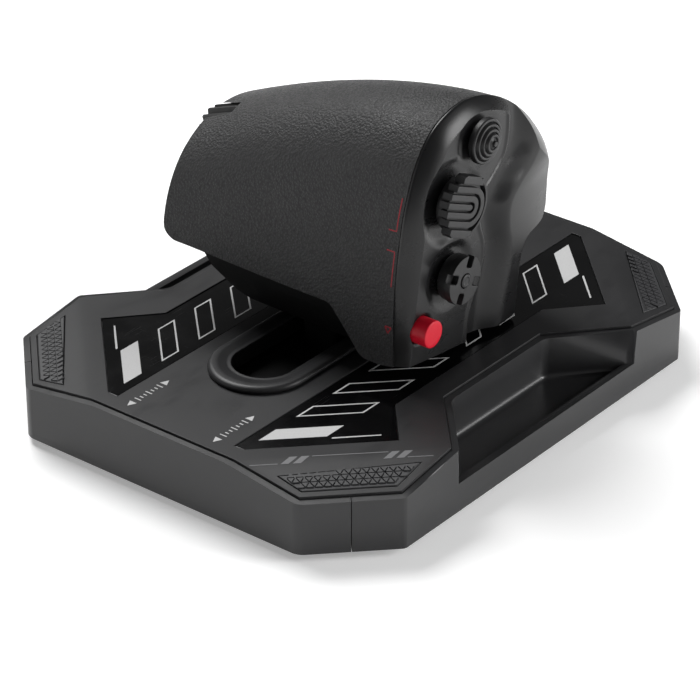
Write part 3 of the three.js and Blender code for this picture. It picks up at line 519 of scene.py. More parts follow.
def circle(bm: Mesh, segments: int, radius: float = 1.0) -> list[Vert]:
    """A bare ring of vertices in the XY plane."""
    return bmesh.ops.create_circle(bm, cap_ends=False, segments=segments, radius=radius)["verts"]


def rod(radius: float, back: float, front: float) -> list[Point]:
    """Profile of a plain round rod, as radius and x."""
    return [(0, back), (radius, back), (radius, front), (0, front)]


def turned(profile: Sequence[Point], y: float, z: float, steps: int) -> Mesh:
    """A piece turned on an axis along +X.

    Args:
        profile: Radius and x of each point, from the axis at the back to the axis at the front.
        y: Place of the axis.
        z: Place of the axis.
        steps: Facets round it.

    Returns:
        The mesh.
    """
    bm = bmesh.new()
    verts = [bm.verts.new((x, radius, 0)) for radius, x in profile]
    edges = [bm.edges.new(pair) for pair in zip(verts, verts[1:])]
    bmesh.ops.spin(
        bm, geom=verts + edges, cent=(0, 0, 0), axis=(1, 0, 0), angle=2 * math.pi,
        steps=steps, use_merge=True,
    )
    bmesh.ops.remove_doubles(bm, verts=bm.verts[:], dist=MERGE)
    bmesh.ops.translate(bm, verts=bm.verts[:], vec=(0, y, z))
    bmesh.ops.recalc_face_normals(bm, faces=bm.faces[:])
    return bm


def rounded_profile(points: Sequence[Point], radius: float, steps: int = 3) -> list[Point]:
    """Rounds the inner corners of an open profile with short curves.

    Args:
        points: The profile.
        radius: How far from its corner each curve starts, at most.
        steps: Stretches in each curve.

    Returns:
        The rounded profile.
    """
    made = [points[0]]
    for before, corner, after in zip(points, points[1:], points[2:]):
        corner_at = Vector(corner)
        to_before = Vector(before) - corner_at
        to_after = Vector(after) - corner_at
        reach = min(radius, to_before.length * 0.45, to_after.length * 0.45)
        start = corner_at + to_before.normalized() * reach
        end = corner_at + to_after.normalized() * reach
        for i in range(steps + 1):
            t = i / steps
            made.append(tuple(start * (1 - t) ** 2 + corner_at * 2 * t * (1 - t) + end * t ** 2))
    return [*made, points[-1]]


def slab(outline: Sequence[Point], back: float, front: float, edge: float) -> Mesh:
    """A flat piece on an outline, with a rounded front edge.

    Args:
        outline: Its corners as y and z.
        back: Place of its back along x.
        front: Place of its front along x.
        edge: Width of the rounding.

    Returns:
        The mesh.
    """
    bm = bmesh.new()
    bm.faces.new([bm.verts.new((back, y, z)) for y, z in outline])
    at_front = set(extruded(bm, (front - back, 0, 0)))
    bmesh.ops.recalc_face_normals(bm, faces=bm.faces[:])
    rim = [side for side in bm.edges if set(side.verts) <= at_front]
    return bevelled(bm, rim, edge, 2)


def joined(*parts: Mesh) -> Mesh:
    """Puts several meshes into the first one.

    Args:
        parts: The meshes; all but the first are freed.

    Returns:
        The first mesh.
    """
    whole = parts[0]
    for part in parts[1:]:
        mesh = bpy.data.meshes.new("part")
        part.to_mesh(mesh)
        part.free()
        whole.from_mesh(mesh)
        bpy.data.meshes.remove(mesh)
    return whole


def carved(bm: Mesh, tool: Mesh, operation: str) -> Mesh:
    """Cuts or intersects a closed mesh with another.

    Args:
        bm: The mesh to keep; it is freed.
        tool: The cutter; it is freed.
        operation: DIFFERENCE or INTERSECT.

    Returns:
        A new mesh.
    """
    holders = []
    for label, source in (("work", bm), ("tool", tool)):
        mesh = bpy.data.meshes.new(label)
        source.to_mesh(mesh)
        source.free()
        holder = bpy.data.objects.new(label, mesh)
        bpy.context.scene.collection.objects.link(holder)
        holders.append(holder)
    work, cutter = holders
    boolean = work.modifiers.new("cut", "BOOLEAN")
    boolean.object = cutter
    boolean.operation = operation
    boolean.solver = "EXACT"
    result = bpy.data.meshes.new_from_object(work.evaluated_get(bpy.context.evaluated_depsgraph_get()))
    made = bmesh.new()
    made.from_mesh(result)
    for holder in holders:
        mesh = holder.data
        bpy.data.objects.remove(holder)
        bpy.data.meshes.remove(mesh)
    bpy.data.meshes.remove(result)
    return made


def spline(points: Sequence[Point], count: int, closed: bool) -> np.ndarray:
    """Centripetal Catmull-Rom curve through points in a plane.

    Args:
        points: Its knots.
        count: Samples on each stretch.
        closed: True where the last knot leads back to the first.

    Returns:
        The sampled points, one row each, without the repeated end of a closed curve.
    """
    knots = np.array(points, dtype=float)
    if closed:
        knots = np.vstack([knots[-1], knots, knots[:2]])
    else:
        knots = np.vstack([2 * knots[0] - knots[1], knots, 2 * knots[-1] - knots[-2]])
    t = np.linspace(0, 1, count, endpoint=False)[:, None]
    rows = []
    for a, b, c, d in zip(knots, knots[1:], knots[2:], knots[3:]):
        before, here, after = (math.dist(p, q) ** 0.5 for p, q in ((a, b), (b, c), (c, d)))
        leave = ((b - a) / before - (c - a) / (before + here) + (c - b) / here) * here
        arrive = ((c - b) / here - (d - b) / (here + after) + (d - c) / after) * here
        cubic = 2 * b - 2 * c + leave + arrive
        square = -3 * b + 3 * c - 2 * leave - arrive
        rows.append(b + leave * t + square * t ** 2 + cubic * t ** 3)
    return np.vstack(rows if closed else [*rows, knots[-2:-1]])


def smoothstep(value: np.ndarray, low: float, high: float) -> np.ndarray:
    """A soft step from 0 at low to 1 at high."""
    share = np.clip((value - low) / (high - low), 0, 1)
    return share * share * (3 - 2 * share)


# ---------------------------------------------------------------- base
def flat(outline: Sequence[Point], low: float, high: float, line: float = 0.0) -> Mesh:
    """A thin flat piece on an outline in x and y, or only its border line.

    Args:
        outline: Corners.
        low: Height of its underside.
        high: Height of its top.
        line: Width of the border line, or 0 for a filled piece.

    Returns:
        The mesh.
    """
    bm = bmesh.new()
    face = bm.faces.new([bm.verts.new((x, y, low)) for x, y in outline])
    face.normal_update()
    if line:
        bmesh.ops.inset_region(bm, faces=[face], thickness=line, use_even_offset=True, use_boundary=True)
        bmesh.ops.delete(bm, geom=[face], context="FACES_ONLY")
    extruded(bm, (0, 0, high - low))
    bmesh.ops.recalc_face_normals(bm, faces=bm.faces[:])
    return bm


@dataclass
class Base:
    """The desk base: cover, skirts, collar, glossy panels, grip pads and printed marks."""

    edge: float = 0.45
    cover_band: float = 6.0
    rim_edge: float = 1.0
    corner: float = 2.4
    fillet: float = 3.2
    slot_half_width: float = 12.0
    slot_half_length: float = 64.0
    collar_steps: int = 96
    collar_wall: float = 3.6
    pyramid_pitch: float = 3.1
    pyramid_height: float = 0.6
    pyramid_fill: float = 0.9
    pyramid_top: float = 0.84
    pyramid_sunk: float = 0.1
    pad_margin: float = 0.52
    pad_reach: float = 40.0
    ink_gap: float = 0.01
    ink: float = 0.05
    mark_line: float = 0.62
    mark_inner: float = 31.5
    mark_outer: float = 48.5
    mark_starts: tuple[float, ...] = (93.0, 72.5, 52.0, 31.5)
    mark_width: float = 9.5
    travel_x: float = 20.0
    travel_tips: Point = (-104.0, -81.5)
    travel_ticks: int = 7
    tick_start: float = -98.6
    tick_pitch: float = 1.95
    tick_line: float = 0.5
    fold: float = 100.5
    facet_slope: float = 0.2088

    def build(self) -> None:
        """Builds every piece of the base."""
        self.cover()
        self.skirts()
        self.collar()
        for side in ("right", "left"):
            self.panel(side)
        for corner in ("far_right", "far_left", "near_left", "near_right"):
            self.pad(corner)
        self.panel_marks()
        self.travel_marks()
        self.facet_stripe()

    def cover(self) -> None:
        """The top cover with softened edges."""
        under = box_mm("top_cover")[1].z - self.cover_band
        bm = round_edges(node_copy("top_cover"), self.edge, 2, 12,
                         lambda edge: min(v.co.z for v in edge.verts) > under)
        settle("top_cover_shell", bm, Body.BASE, CASING, ["top_cover"])

    def skirts(self) -> None:
        """The four skirts: rounded upright corners first, then the rims."""
        for node in ("front_bezel", "rear_bezel", "right_skirt", "left_skirt"):
            bm = node_copy(node)
            round_edges(bm, self.fillet, 4, 22, self.is_pocket_foot)
            round_edges(bm, self.corner, 4, 22, self.is_corner)
            round_edges(bm, self.rim_edge, 3, 28, self.is_rim)
            settle(f"{node}_shell", bm, Body.BASE, RIM_CASING, [node])

    @staticmethod
    def is_pocket_foot(edge: Edge) -> bool:
        """True for an edge between a pocket's floor and its walls, or between two of its walls."""
        first, second = (vert.co for vert in edge.verts)
        return not edge.is_convex and (first - second).length > 5 and min(first.z, second.z) > 9

    @staticmethod
    def is_corner(edge: Edge) -> bool:
        """True for an upright edge between two outline sides."""
        first, second = (vert.co for vert in edge.verts)
        upright = (first.xy - second.xy).length < 0.05 and abs(first.z - second.z) > 4
        return upright and edge.calc_face_angle() < math.radians(66)

    @staticmethod
    def is_rim(edge: Edge) -> bool:
        """True for a long edge along the top or the foot of a skirt."""
        first, second = (vert.co for vert in edge.verts)
        level = abs(first.z - second.z) < 0.45 * (first - second).length
        return level and (first - second).length > 0.7

    def stadium(self, bm: Mesh, out: float, z: float) -> list[Vert]:
        """A ring round the slot, at a distance out from its edge.

        Args:
            bm: The mesh that it is added to.
            out: Distance from the edge of the slot.
            z: Its height.

        Returns:
            Its vertices.
        """
        ring = circle(bm, self.collar_steps, self.slot_half_width + out)
        half_step = math.pi / self.collar_steps
        bmesh.ops.rotate(bm, verts=ring, cent=(0, 0, 0), matrix=Matrix.Rotation(half_step, 3, "Z"))
        straight = self.slot_half_length - self.slot_half_width + 0.5 * max(0.0, out - self.collar_wall)
        for vert in ring:
            vert.co.y += math.copysign(straight, vert.co.y)
            vert.co.z = z
        return ring

    def collar(self) -> None:
        """The raised collar round the slot, with a rolled lip."""
        low, high = box_mm("slot_collar")
        brim = box_mm("top_cover")[1].z + 0.3
        wall = self.collar_wall
        profile = rounded_profile([
            (wall, low.z), (0.0, low.z), (0.0, high.z - 0.7), (1.6, high.z - 0.9), (4.9, high.z),
            (6.6, high.z), (7.5, high.z - 1.0), (7.5, brim), (wall, brim), (wall, low.z),
        ], 0.55)
        bm = bmesh.new()
        rings = [self.stadium(bm, out, z) for out, z in profile[:-1]]
        rings_joined(bm, rings, True)
        settle("slot_collar_ring", bm, Body.BASE, CASING, ["slot_collar"], 30)

    def panel(self, side: str) -> None:
        """A polished panel with a softened edge."""
        bm = round_edges(node_copy(f"{side}_panel"), 0.28, 2, 40)
        settle(f"{side}_panel_glass", bm, Body.BASE, GLOSS, [f"{side}_panel"])

    def pad(self, corner: str) -> None:
        """A corner grip pad: a soft-edged slab covered in small three-sided pyramids.

        Args:
            corner: Which corner, as in the name of its CAD node.
        """
        bm = node_copy(f"corner_pad_{corner}")
        top = max(bm.faces, key=lambda face: face.calc_area() * (face.normal.z > 0.5))
        outline = [loop.vert.co.copy() for loop in top.loops]
        centre = top.calc_center_median()
        normal = top.normal.copy()
        along = (outline[1] - outline[0]).normalized()
        across = normal.cross(along)
        round_edges(bm, 0.3, 2, 40)
        flat_outline = [((p - centre).dot(along), (p - centre).dot(across)) for p in outline]
        parts = [bm]
        reach = int(self.pad_reach / self.pyramid_pitch)
        row_height = self.pyramid_pitch * math.sqrt(3) / 2
        side = self.pyramid_pitch / math.sqrt(3) * self.pyramid_fill
        for row in range(-reach, reach + 1):
            for column in range(-2 * reach, 2 * reach + 1):
                u = column * self.pyramid_pitch / 2
                upward = (column + row) % 2 == 0
                v = row * row_height + (0 if upward else row_height / 3)
                if self.margin(flat_outline, u, v) < side * self.pad_margin:
                    continue
                spot = centre + along * u + across * v
                parts.append(self.pyramid(spot, along, across, normal, side, upward))
        settle(f"grip_pad_{corner}", joined(*parts), Body.BASE, PAD_GRIP,
               [f"corner_pad_{corner}"], 20)

    @staticmethod
    def margin(outline: Sequence[Point], u: float, v: float) -> float:
        """How far a point lies inside a convex outline.

        Args:
            outline: Its corners.
            u: Place of the point.
            v: Place of the point.

        Returns:
            The distance to the nearest side, negative outside.
        """
        here = Vector((u, v))
        sides = [(Vector(a), Vector(b)) for a, b in zip(outline, [*outline[1:], outline[0]])]
        turn = math.copysign(1, sum(a.cross(b) for a, b in sides))
        return min(turn * (b - a).normalized().cross(here - a) for a, b in sides)

    def pyramid(
        self, spot: Vector, along: Vector, across: Vector, normal: Vector, side: float, upward: bool,
    ) -> Mesh:
        """One blunt three-sided pyramid standing on a tilted plane.

        Args:
            spot: Its place on the plane.
            along: First direction of the plane.
            across: Second direction of the plane.
            normal: Direction out of the plane.
            side: Distance from its middle to a corner.
            upward: False where it is turned by half a circle.

        Returns:
            The mesh.
        """
        bm = bmesh.new()
        bmesh.ops.create_cone(bm, cap_ends=True, segments=3, radius1=side, radius2=side * self.pyramid_top,
                              depth=self.pyramid_height)
        turn = math.radians(0 if upward else 180)
        basis = Matrix((along, across, normal)).transposed().to_4x4()
        place = Matrix.Translation(spot + normal * (self.pyramid_height / 2 - self.pyramid_sunk))
        bmesh.ops.transform(bm, matrix=place @ basis @ Matrix.Rotation(turn, 4, "Z"), verts=bm.verts[:])
        return bm

    def panel_marks(self) -> None:
        """Slanted boxes and a thin leader line on both panels, mirrored end to end."""
        top = box_mm("right_panel")[1].z
        shift = self.mark_outer - self.mark_inner
        for side_x, side in ((1, "right"), (-1, "left")):
            parts = []
            for side_y in (1, -1):
                shapes = []
                for i, start in enumerate(self.mark_starts):
                    end = start - self.mark_width
                    outline = [(self.mark_inner, start), (self.mark_inner, end),
                               (self.mark_outer, end - shift), (self.mark_outer, start - shift)]
                    shapes.append((outline, self.mark_line if i else 0.0))
                first = self.mark_starts[0] - shift
                leader = [(50.5, first - 0.7), (50.5, first), (50.9, first), (63.0, first - 12.3),
                          (62.6, first - 12.8)]
                shapes.append((leader, 0.0))
                for outline, line in shapes:
                    parts.append(self.inked([(x * side_x, y * side_y) for x, y in outline], top, line))
            settle(f"{side}_panel_print", joined(*parts), Body.BASE, WHITE_INK)

    def inked(self, outline: Sequence[Point], top: float, line: float = 0.0) -> Mesh:
        """One printed shape on a level face, filled or as a border line."""
        return flat(outline, top + self.ink_gap, top + self.ink, line)

    def travel_marks(self) -> None:
        """Arrowheads with a row of ticks between them, beside the slot's user end."""
        top = box_mm("top_cover")[1].z
        parts = []
        for side_x in (1, -1):
            x = self.travel_x * side_x
            for tip, step in zip(self.travel_tips, (3.2, -3.2)):
                parts.append(self.inked([(x, tip), (x - 1.6, tip + step), (x + 1.6, tip + step)], top))
            for i in range(self.travel_ticks):
                low = self.tick_start + i * self.tick_pitch
                high = low + self.tick_line
                half = 0.8 if i % 3 else 1.5
                tick = [(x - half, low), (x + half, low), (x + half, high), (x - half, high)]
                parts.append(self.inked(tick, top))
        settle("travel_print", joined(*parts), Body.BASE, WHITE_INK)

    def facet_stripe(self) -> None:
        """Slanted bars and thin lines on the sloping facet, between its fold and the near right pad."""
        across = Vector((0.700, -0.714))
        along = Vector((0.714, 0.700))
        inner, outer = self.fold + 0.4, self.fold + 3.8
        bars = [((start, outer), (start + 2.75, outer), (start + 6.2, inner), (start + 3.4, inner))
                for start in (-36.2, -32.0, -0.5, 4.0)]
        runs = ((-47.0, -37.2, outer), (-25.0, 1.6, inner + 0.35), (8.0, 17.0, outer))
        lines = [((start, out), (end, out), (end, out - 0.35), (start, out - 0.35))
                 for start, end, out in runs]
        top = box_mm("top_cover")[1].z + self.ink_gap
        parts = [self.inked([along * s + across * d for s, d in shape], top) for shape in (*bars, *lines)]
        bm = joined(*parts)
        for vert in bm.verts:
            vert.co.z -= max(0.0, vert.co.xy.dot(across) - self.fold) * self.facet_slope
        settle("facet_print", bm, Body.BASE, GREY_INK)


# ---------------------------------------------------------------- grip
@dataclass
class GripForm:
    """The grip's outer form: a section that changes from the left end to the thumb plate."""

    seam: float = 46.0
    run_out: float = 4.0
    power: float = 1.7
    middle: Point = (5.0, 76.0)
    split_y: float = 27.0
    gap: float = 0.3
    shrink: float = 0.993
    right: tuple[Point, ...] = (
        (-34, 24), (-35.5, 42), (-35.5, 62), (-33, 83), (-29.5, 99), (-22.5, 115), (-13, 124.5), (1, 128.5),
        (15, 126.5), (31, 118), (45.6, 104), (55, 88), (55.4, 70), (52.6, 62.8), (41.5, 59.4), (37.4, 52),
        (35.6, 40), (32, 24),
    )
    left: tuple[Point, ...] = (
        (-35, 24), (-38, 42), (-40, 60), (-37, 74), (-30.5, 85.5), (-22, 93), (-11, 98), (0, 99.5),
        (12, 98), (24, 93.5), (36, 86), (43.5, 76), (44.3, 67), (43, 61.5), (39, 58), (36, 51), (33.5, 40),
        (31, 24),
    )
    left_x: float = field(init=False)

    def __post_init__(self) -> None:
        """Takes the left end from the frame."""
        self.left_x = box_mm("palm_shell")[0].x

    def section(self, x: float, scale: float = 1.0) -> np.ndarray:
        """The closed section at x, as y and z, scaled about its middle and kept under the frame's top.

        Args:
            x: Place along the grip.
            scale: Size of the section, where 1 is the skin.

        Returns:
            Its points, one row each.
        """
        share = min(1.0, max(0.0, (x - self.left_x) / (self.seam + self.run_out - self.left_x)))
        blend = 1 - (1 - share) ** self.power
        knots = np.array(self.left) * (1 - blend) + np.array(self.right) * blend
        return (spline(knots, 24, True) - self.middle) * (scale * self.shrink) + self.middle

    @staticmethod
    def crossing(values: np.ndarray, level: float, start: int = 0) -> float:
        """Fractional row at which a column first passes a level, from a given row on.

        Args:
            values: The column.
            level: The level.
            start: First row that is looked at.

        Returns:
            The row, or the last one where the level is never passed.
        """
        for i in range(start, len(values) - 1):
            if (values[i] - level) * (values[i + 1] - level) <= 0:
                return i + (level - values[i]) / (values[i + 1] - values[i])
        return float(len(values) - 1)

    @staticmethod
    def resampled(points: np.ndarray, first: float, last: float, count: int) -> np.ndarray:
        """Evenly spaced points between two fractional rows.

        Args:
            points: The curve, one row a point.
            first: Row where the stretch starts.
            last: Row where it ends.
            count: How many points are made.

        Returns:
            The points.
        """
        rows = np.arange(len(points))
        steps = np.hypot(*np.diff(points, axis=0).T)
        length = np.concatenate([[0], np.cumsum(steps)])
        wanted = np.linspace(np.interp(first, rows, length), np.interp(last, rows, length), count)
        return np.stack([np.interp(wanted, length, column) for column in points.T], 1)

    def palm_row(self, x: float, low: float, count: int) -> np.ndarray:
        """The palm side at x, from height low on the user's side over the top to the split.

        Args:
            x: Place along the grip.
            low: Height where the row starts.
            count: How many points are made.

        Returns:
            The points, as y and z.
        """
        points = self.section(x)
        first = self.crossing(points[:, 1], low)
        top = int(points[:, 1].argmax())
        last = self.crossing(points[:, 0], self.split_y - self.gap / 2, top)
        return self.resampled(points, first, last, count)

    def finger_row(self, x: float, low: float, count: int) -> np.ndarray:
        """The finger side at x, from the split down to height low.

        Args:
            x: Place along the grip.
            low: Height where the row ends.
            count: How many points are made.

        Returns:
            The points, as y and z.
        """
        points = self.section(x)
        top = int(points[:, 1].argmax())
        first = self.crossing(points[:, 0], self.split_y + self.gap / 2, top)
        last = self.crossing(points[:, 1], low, int(points[:, 0].argmax()))
        return self.resampled(points, first, last, count)

    def user_side_y(self, x: float, z: float) -> float:
        """The skin's y on the user's side at x and z."""
        points = self.section(x)
        return float(np.interp(self.crossing(points[:, 1], z), np.arange(len(points)), points[:, 0]))

    def closed_loft(self, stations: Sequence[Point], steps: int) -> Mesh:
        """A closed loft through stations of x and section scale.

        Args:
            stations: x and scale of each section, in order.
            steps: Points round each section.

        Returns:
            The mesh.
        """
        bm = bmesh.new()
        rings = []
        for x, scale in stations:
            points = self.section(x, scale)
            closed = np.vstack([points, points[:1]])
            even = self.resampled(closed, 0, len(points), steps + 1)[:-1]
            ring = circle(bm, steps)
            for vert, (y, z) in zip(ring, even):
                vert.co = (x, y, z)
            rings.append(ring)
        rings_joined(bm, rings, False)
        bm.faces.new(rings[0])
        bm.faces.new(rings[-1])
        bmesh.ops.recalc_face_normals(bm, faces=bm.faces[:])
        return bm


@dataclass
class GripShells:
    """The palm shell, the finger shell and the pieces under them."""

    form: GripForm
    wall: float = 2.0
    columns: int = 120
    rows: int = 96
    corner: float = 6.0
    spread: float = 1.25
    button_room: float = 0.3
    paddle_hole: float = 6.2
    palm_edge: tuple[Point, ...] = (
        (-60, 57.6), (-46, 57), (-30, 55.9), (-14, 55), (6, 54.2), (15, 54), (17.6, 53.3), (19.3, 51.3),
        (22.2, 47.7), (27.9, 40.1), (29.8, 37.9), (31.8, 36.7), (34, 36.3), (40.5, 36.3), (46, 37.2),
    )
    finger_edge: tuple[Point, ...] = (
        (-60, 57), (6, 57), (16, 56.2), (21, 52), (34, 36), (38, 32), (42, 31), (46, 31),
    )

    def build(self) -> None:
        """Builds the shells, the lower housing and their printed lines."""
        self.palm()
        self.fingers()
        widths = {"grip_housing": 0.8, "neck": 0.6, "grip_end_cap": 0.5, "slot_shutter": 0.3}
        for node, width in widths.items():
            self.soft(node, width)
        self.palm_print()

    def soft(self, node: str, width: float) -> None:
        """Carries a node over with its edges rounded."""
        bm = round_edges(node_copy(node), width, 2, 35)
        # The inner finish carries painted shade: it is darkened past the plastic's own black.
        settle(f"{node}_part", bm, Body.GRIP, INNER_BLACK_WITH_PAINTED_SHADE, [node])

    def edge_height(self, x: float, edge: Sequence[Point]) -> float:
        """Height of a shell's lower edge at x, with its left corner rounded.

        Args:
            x: Place along the grip.
            edge: The lower edge as x and z.

        Returns:
            The height.
        """
        curve = spline(edge, 12, False)
        height = float(np.interp(x, curve[:, 0], curve[:, 1]))
        inside = min(self.corner, x - self.form.left_x)
        return height + self.corner - math.sqrt(self.corner ** 2 - (self.corner - inside) ** 2)

    def shell(self, row: Callable, edge: Sequence[Point]) -> Mesh:
        """A curved wall over the whole length of the grip.

        Args:
            row: Gives the points of the wall at x, down to a height.
            edge: Lower edge as x and z.

        Returns:
            The closed wall, not yet rounded.
        """
        bm = bmesh.new()
        bmesh.ops.create_grid(bm, x_segments=self.columns, y_segments=self.rows, size=1.0)
        table = {}
        for vert in bm.verts:
            column = round((vert.co.x + 1) / 2 * self.columns)
            line = round((vert.co.y + 1) / 2 * self.rows)
            if column not in table:
                share = column / self.columns
                x = self.form.left_x + (self.form.seam - self.form.left_x) * share ** self.spread
                table[column] = (x, row(x, self.edge_height(x, edge), self.rows + 1))
            x, points = table[column]
            vert.co = (x, *points[line])
        bmesh.ops.recalc_face_normals(bm, faces=bm.faces[:])
        middle = Vector((0, *self.form.middle))
        outwards = sum(face.normal.dot(face.calc_center_median() - middle) for face in bm.faces)
        if outwards < 0:
            bmesh.ops.reverse_faces(bm, faces=bm.faces[:])
        bmesh.ops.solidify(bm, geom=bm.faces[:], thickness=self.wall)
        return bm

    def palm(self) -> None:
        """The palm shell, with the dial's notch at its left end."""
        bm = round_edges(self.shell(self.form.palm_row, self.palm_edge), 0.55, 3, 50)
        bm = carved(bm, Dial().room(), "DIFFERENCE")
        settle("palm_shell_skin", bm, Body.GRIP, GRIP_SKIN, ["palm_shell"], 42, True)

    def fingers(self) -> None:
        """The finger shell, with its button and paddle holes."""
        bm = round_edges(self.shell(self.form.finger_row, self.finger_edge), 0.55, 3, 50)
        holes = []
        for node in ("index_button", "ring_button", "rudder_paddle"):
            low, high = box_mm(node)
            middle = (low + high) / 2
            radius = (high.x - low.x) / 2 + self.button_room
            if node == "rudder_paddle":
                radius = self.paddle_hole
            hole = bmesh.new()
            bmesh.ops.create_cone(hole, cap_ends=True, segments=48, radius1=radius, radius2=radius, depth=60)
            place = Matrix.Translation((middle.x, 60, middle.z)) @ Matrix.Rotation(math.pi / 2, 4, "X")
            bmesh.ops.transform(hole, matrix=place, verts=hole.verts[:])
            holes.append(hole)
        bm = carved(bm, joined(*holes), "DIFFERENCE")
        settle("finger_shell_skin", bm, Body.GRIP, GRIP_SKIN, ["finger_shell"], 42, True)

    def ribbon(self, start: Point, end: Point, width: float = 0.45) -> Mesh:
        """A thin printed line on the palm shell's user side between two places in x and z.

        Args:
            start: Where it starts.
            end: Where it ends.
            width: Its width.

        Returns:
            The mesh.
        """
        bm = bmesh.new()
        bmesh.ops.create_grid(bm, x_segments=14, y_segments=1, size=1.0)
        first, last = Vector(start), Vector(end)
        side = (last - first).normalized().orthogonal() * width / 2
        for vert in bm.verts:
            spot = first.lerp(last, (vert.co.x + 1) / 2) + side * vert.co.y
            vert.co = (spot.x, self.form.user_side_y(spot.x, spot.y) - PROUD_OF_SKIN, spot.y)
        extruded(bm, (0, PROUD_OF_SKIN, 0))
        return bm

    def palm_print(self) -> None:
        """Two thin corner lines and a small triangle beside the thumb plate."""
        lines = [
            ((44.4, 101.6), (44.3, 89.8)), ((44.3, 89.8), (40.9, 89.6)),
            ((41.1, 82.2), (44.6, 82.2)), ((44.6, 82.2), (44.4, 68.9)),
            ((42.4, 52.9), (45.1, 53.0)), ((45.1, 53.0), (43.6, 50.4)), ((43.6, 50.4), (42.4, 52.9)),
        ]
        parts = [self.ribbon(start, end) for start, end in lines]
        settle("palm_print", joined(*parts), Body.GRIP, RED_INK)


@dataclass
class Control:
    """A thumb control: where its axis and its faces are, from the frame."""

    node: str
    body: Body
    y: float = field(init=False)
    z: float = field(init=False)
    back: float = 52.6
    face: float = field(init=False)
    radius: float = field(init=False)
    stem_end: float = field(init=False)

    def __post_init__(self) -> None:
        """Reads the places from the frame."""
        low, high = box_mm(self.node)
        self.y = (low.y + high.y) / 2
        self.z = (low.z + high.z) / 2
        self.face = high.x
        self.stem_end = low.x
        self.radius = (high.z - low.z) / 2


@dataclass
class ThumbPlate:
    """The thumb plate: a crowned face with dished recesses, a curved ridge and a thumb channel."""

    form: GripForm
    controls: Sequence[Control]
    button: Control
    cell: float = 0.45
    crown: float = 52.6
    fall_across: float = 1.5
    fall_up: float = 1.2
    bead_height: float = 0.55
    bead_width: float = 0.9
    recess_floor: float = 51.0
    recess_room: float = 0.8
    channel_floor: float = 47.1
    beyond: float = 4.0
    stem_bore: float = 5.4
    button_gap: float = 0.3
    ridge: tuple[Point, ...] = (
        (1, 26), (1.2, 37), (2.2, 46), (7.0, 57), (9.8, 65), (9.6, 72), (6.8, 81), (8.4, 91), (16, 96.5),
        (22.5, 102), (25, 109), (25.8, 120), (26, 132),
    )
    flank: tuple[Point, ...] = (
        (22, 26), (24.5, 37), (26.5, 46), (28.2, 57), (27.5, 65), (26.2, 72), (27, 80), (32.5, 86),
        (40, 91.5), (45, 98), (45.5, 104), (42, 116), (40, 132),
    )
    edge_stations: tuple[Point, ...] = (
        (46.3, 0.985), (46.3, 1.0), (46.8, 1.003), (47.3, 1.001), (47.8, 0.991), (48.5, 0.978), (49.3, 0.96),
        (50.1, 0.94), (50.9, 0.915), (51.6, 0.885), (52.2, 0.85), (52.7, 0.81), (53.1, 0.76),
    )

    def height(self, y: np.ndarray, z: np.ndarray) -> np.ndarray:
        """The face's x at each place.

        Args:
            y: Places across the plate.
            z: Heights on the plate.

        Returns:
            x at each of them.
        """
        face = self.crown - self.fall_across * ((y + 10) / 40) ** 2 - self.fall_up * ((z - 82) / 45) ** 2
        ridge = spline(self.ridge, 10, False)
        flank = spline(self.flank, 10, False)
        from_ridge = y - np.interp(z, ridge[:, 1], ridge[:, 0])
        run = np.interp(z, flank[:, 1], flank[:, 0]) - np.interp(z, ridge[:, 1], ridge[:, 0])
        bead = self.bead_height * np.exp(-((from_ridge + self.bead_width) / self.bead_width) ** 2)
        beyond = np.maximum(from_ridge - run, 0)
        outer = 51.9 - 0.055 * beyond - 0.004 * beyond ** 2 - 0.9 * ((z - 84) / 48) ** 2
        climb = smoothstep(from_ridge / run, 0.40, 1.0)
        channel = self.channel_floor + (outer - self.channel_floor) * climb
        over = smoothstep(from_ridge, -0.3, 2.6)
        surface = (face + bead) * (1 - over) + channel * over
        for control in self.controls:
            distance = np.hypot(y - control.y, z - control.z)
            rim = control.radius + self.recess_room
            dish = 1 - smoothstep(distance, rim - 0.5, rim + 4.2)
            bowl = np.minimum(surface, self.recess_floor)
            surface = surface * (1 - dish) + bowl * dish
        distance = np.hypot(y - self.button.y, z - self.button.z)
        return surface - 0.5 * (1 - smoothstep(distance, self.button.radius, self.button.radius + 1.2))

    def build(self) -> None:
        """Builds the plate and its bores."""
        low, high = box_mm("thumb_plate")
        width = high.y - low.y + self.beyond
        tall = high.z - low.z + self.beyond
        across = int(width / self.cell)
        upward = int(tall / self.cell)
        bm = bmesh.new()
        bmesh.ops.create_grid(bm, x_segments=across, y_segments=upward, size=1.0)
        flat_places = np.array([vert.co[:2] for vert in bm.verts])
        middle = (low + high) / 2
        y = middle.y + flat_places[:, 0] * width / 2
        z = middle.z + flat_places[:, 1] * tall / 2
        for vert, place in zip(bm.verts, zip(self.height(y, z), y, z)):
            vert.co = place
        for vert in extruded(bm, (0, 0, 0)):
            vert.co.x = low.x - 6
        bmesh.ops.recalc_face_normals(bm, faces=bm.faces[:])
        bm = carved(self.form.closed_loft(self.edge_stations, 150), bm, "INTERSECT")
        bm = carved(bm, self.openings(low, high), "DIFFERENCE")
        settle("thumb_plate_face", bm, Body.GRIP, THUMB_SKIN, ["thumb_plate"], 40, True)

    def openings(self, low: Vector, high: Vector) -> Mesh:
        """What is cut from the plate: its slanted foot, the stem bores and the button's bore.

        Args:
            low: Lowest corner of the plate's CAD node.
            high: Highest corner of the plate's CAD node.

        Returns:
            The cutters as one mesh.
        """
        under = [(low.y - 9, 0), (high.y + 9, 0), (high.y + 9, 31), (20, 31), (-36, 38), (low.y - 9, 39)]
        parts = [slab(under, low.x - 9, high.x + 9, 0.01)]
        bores = [(control, self.stem_bore, 48) for control in self.controls]
        bores.append((self.button, self.button.radius + self.button_gap, 64))
        for control, radius, steps in bores:
            parts.append(turned(rod(radius, low.x - 3, high.x + 6), control.y, control.z, steps))
        return joined(*parts)


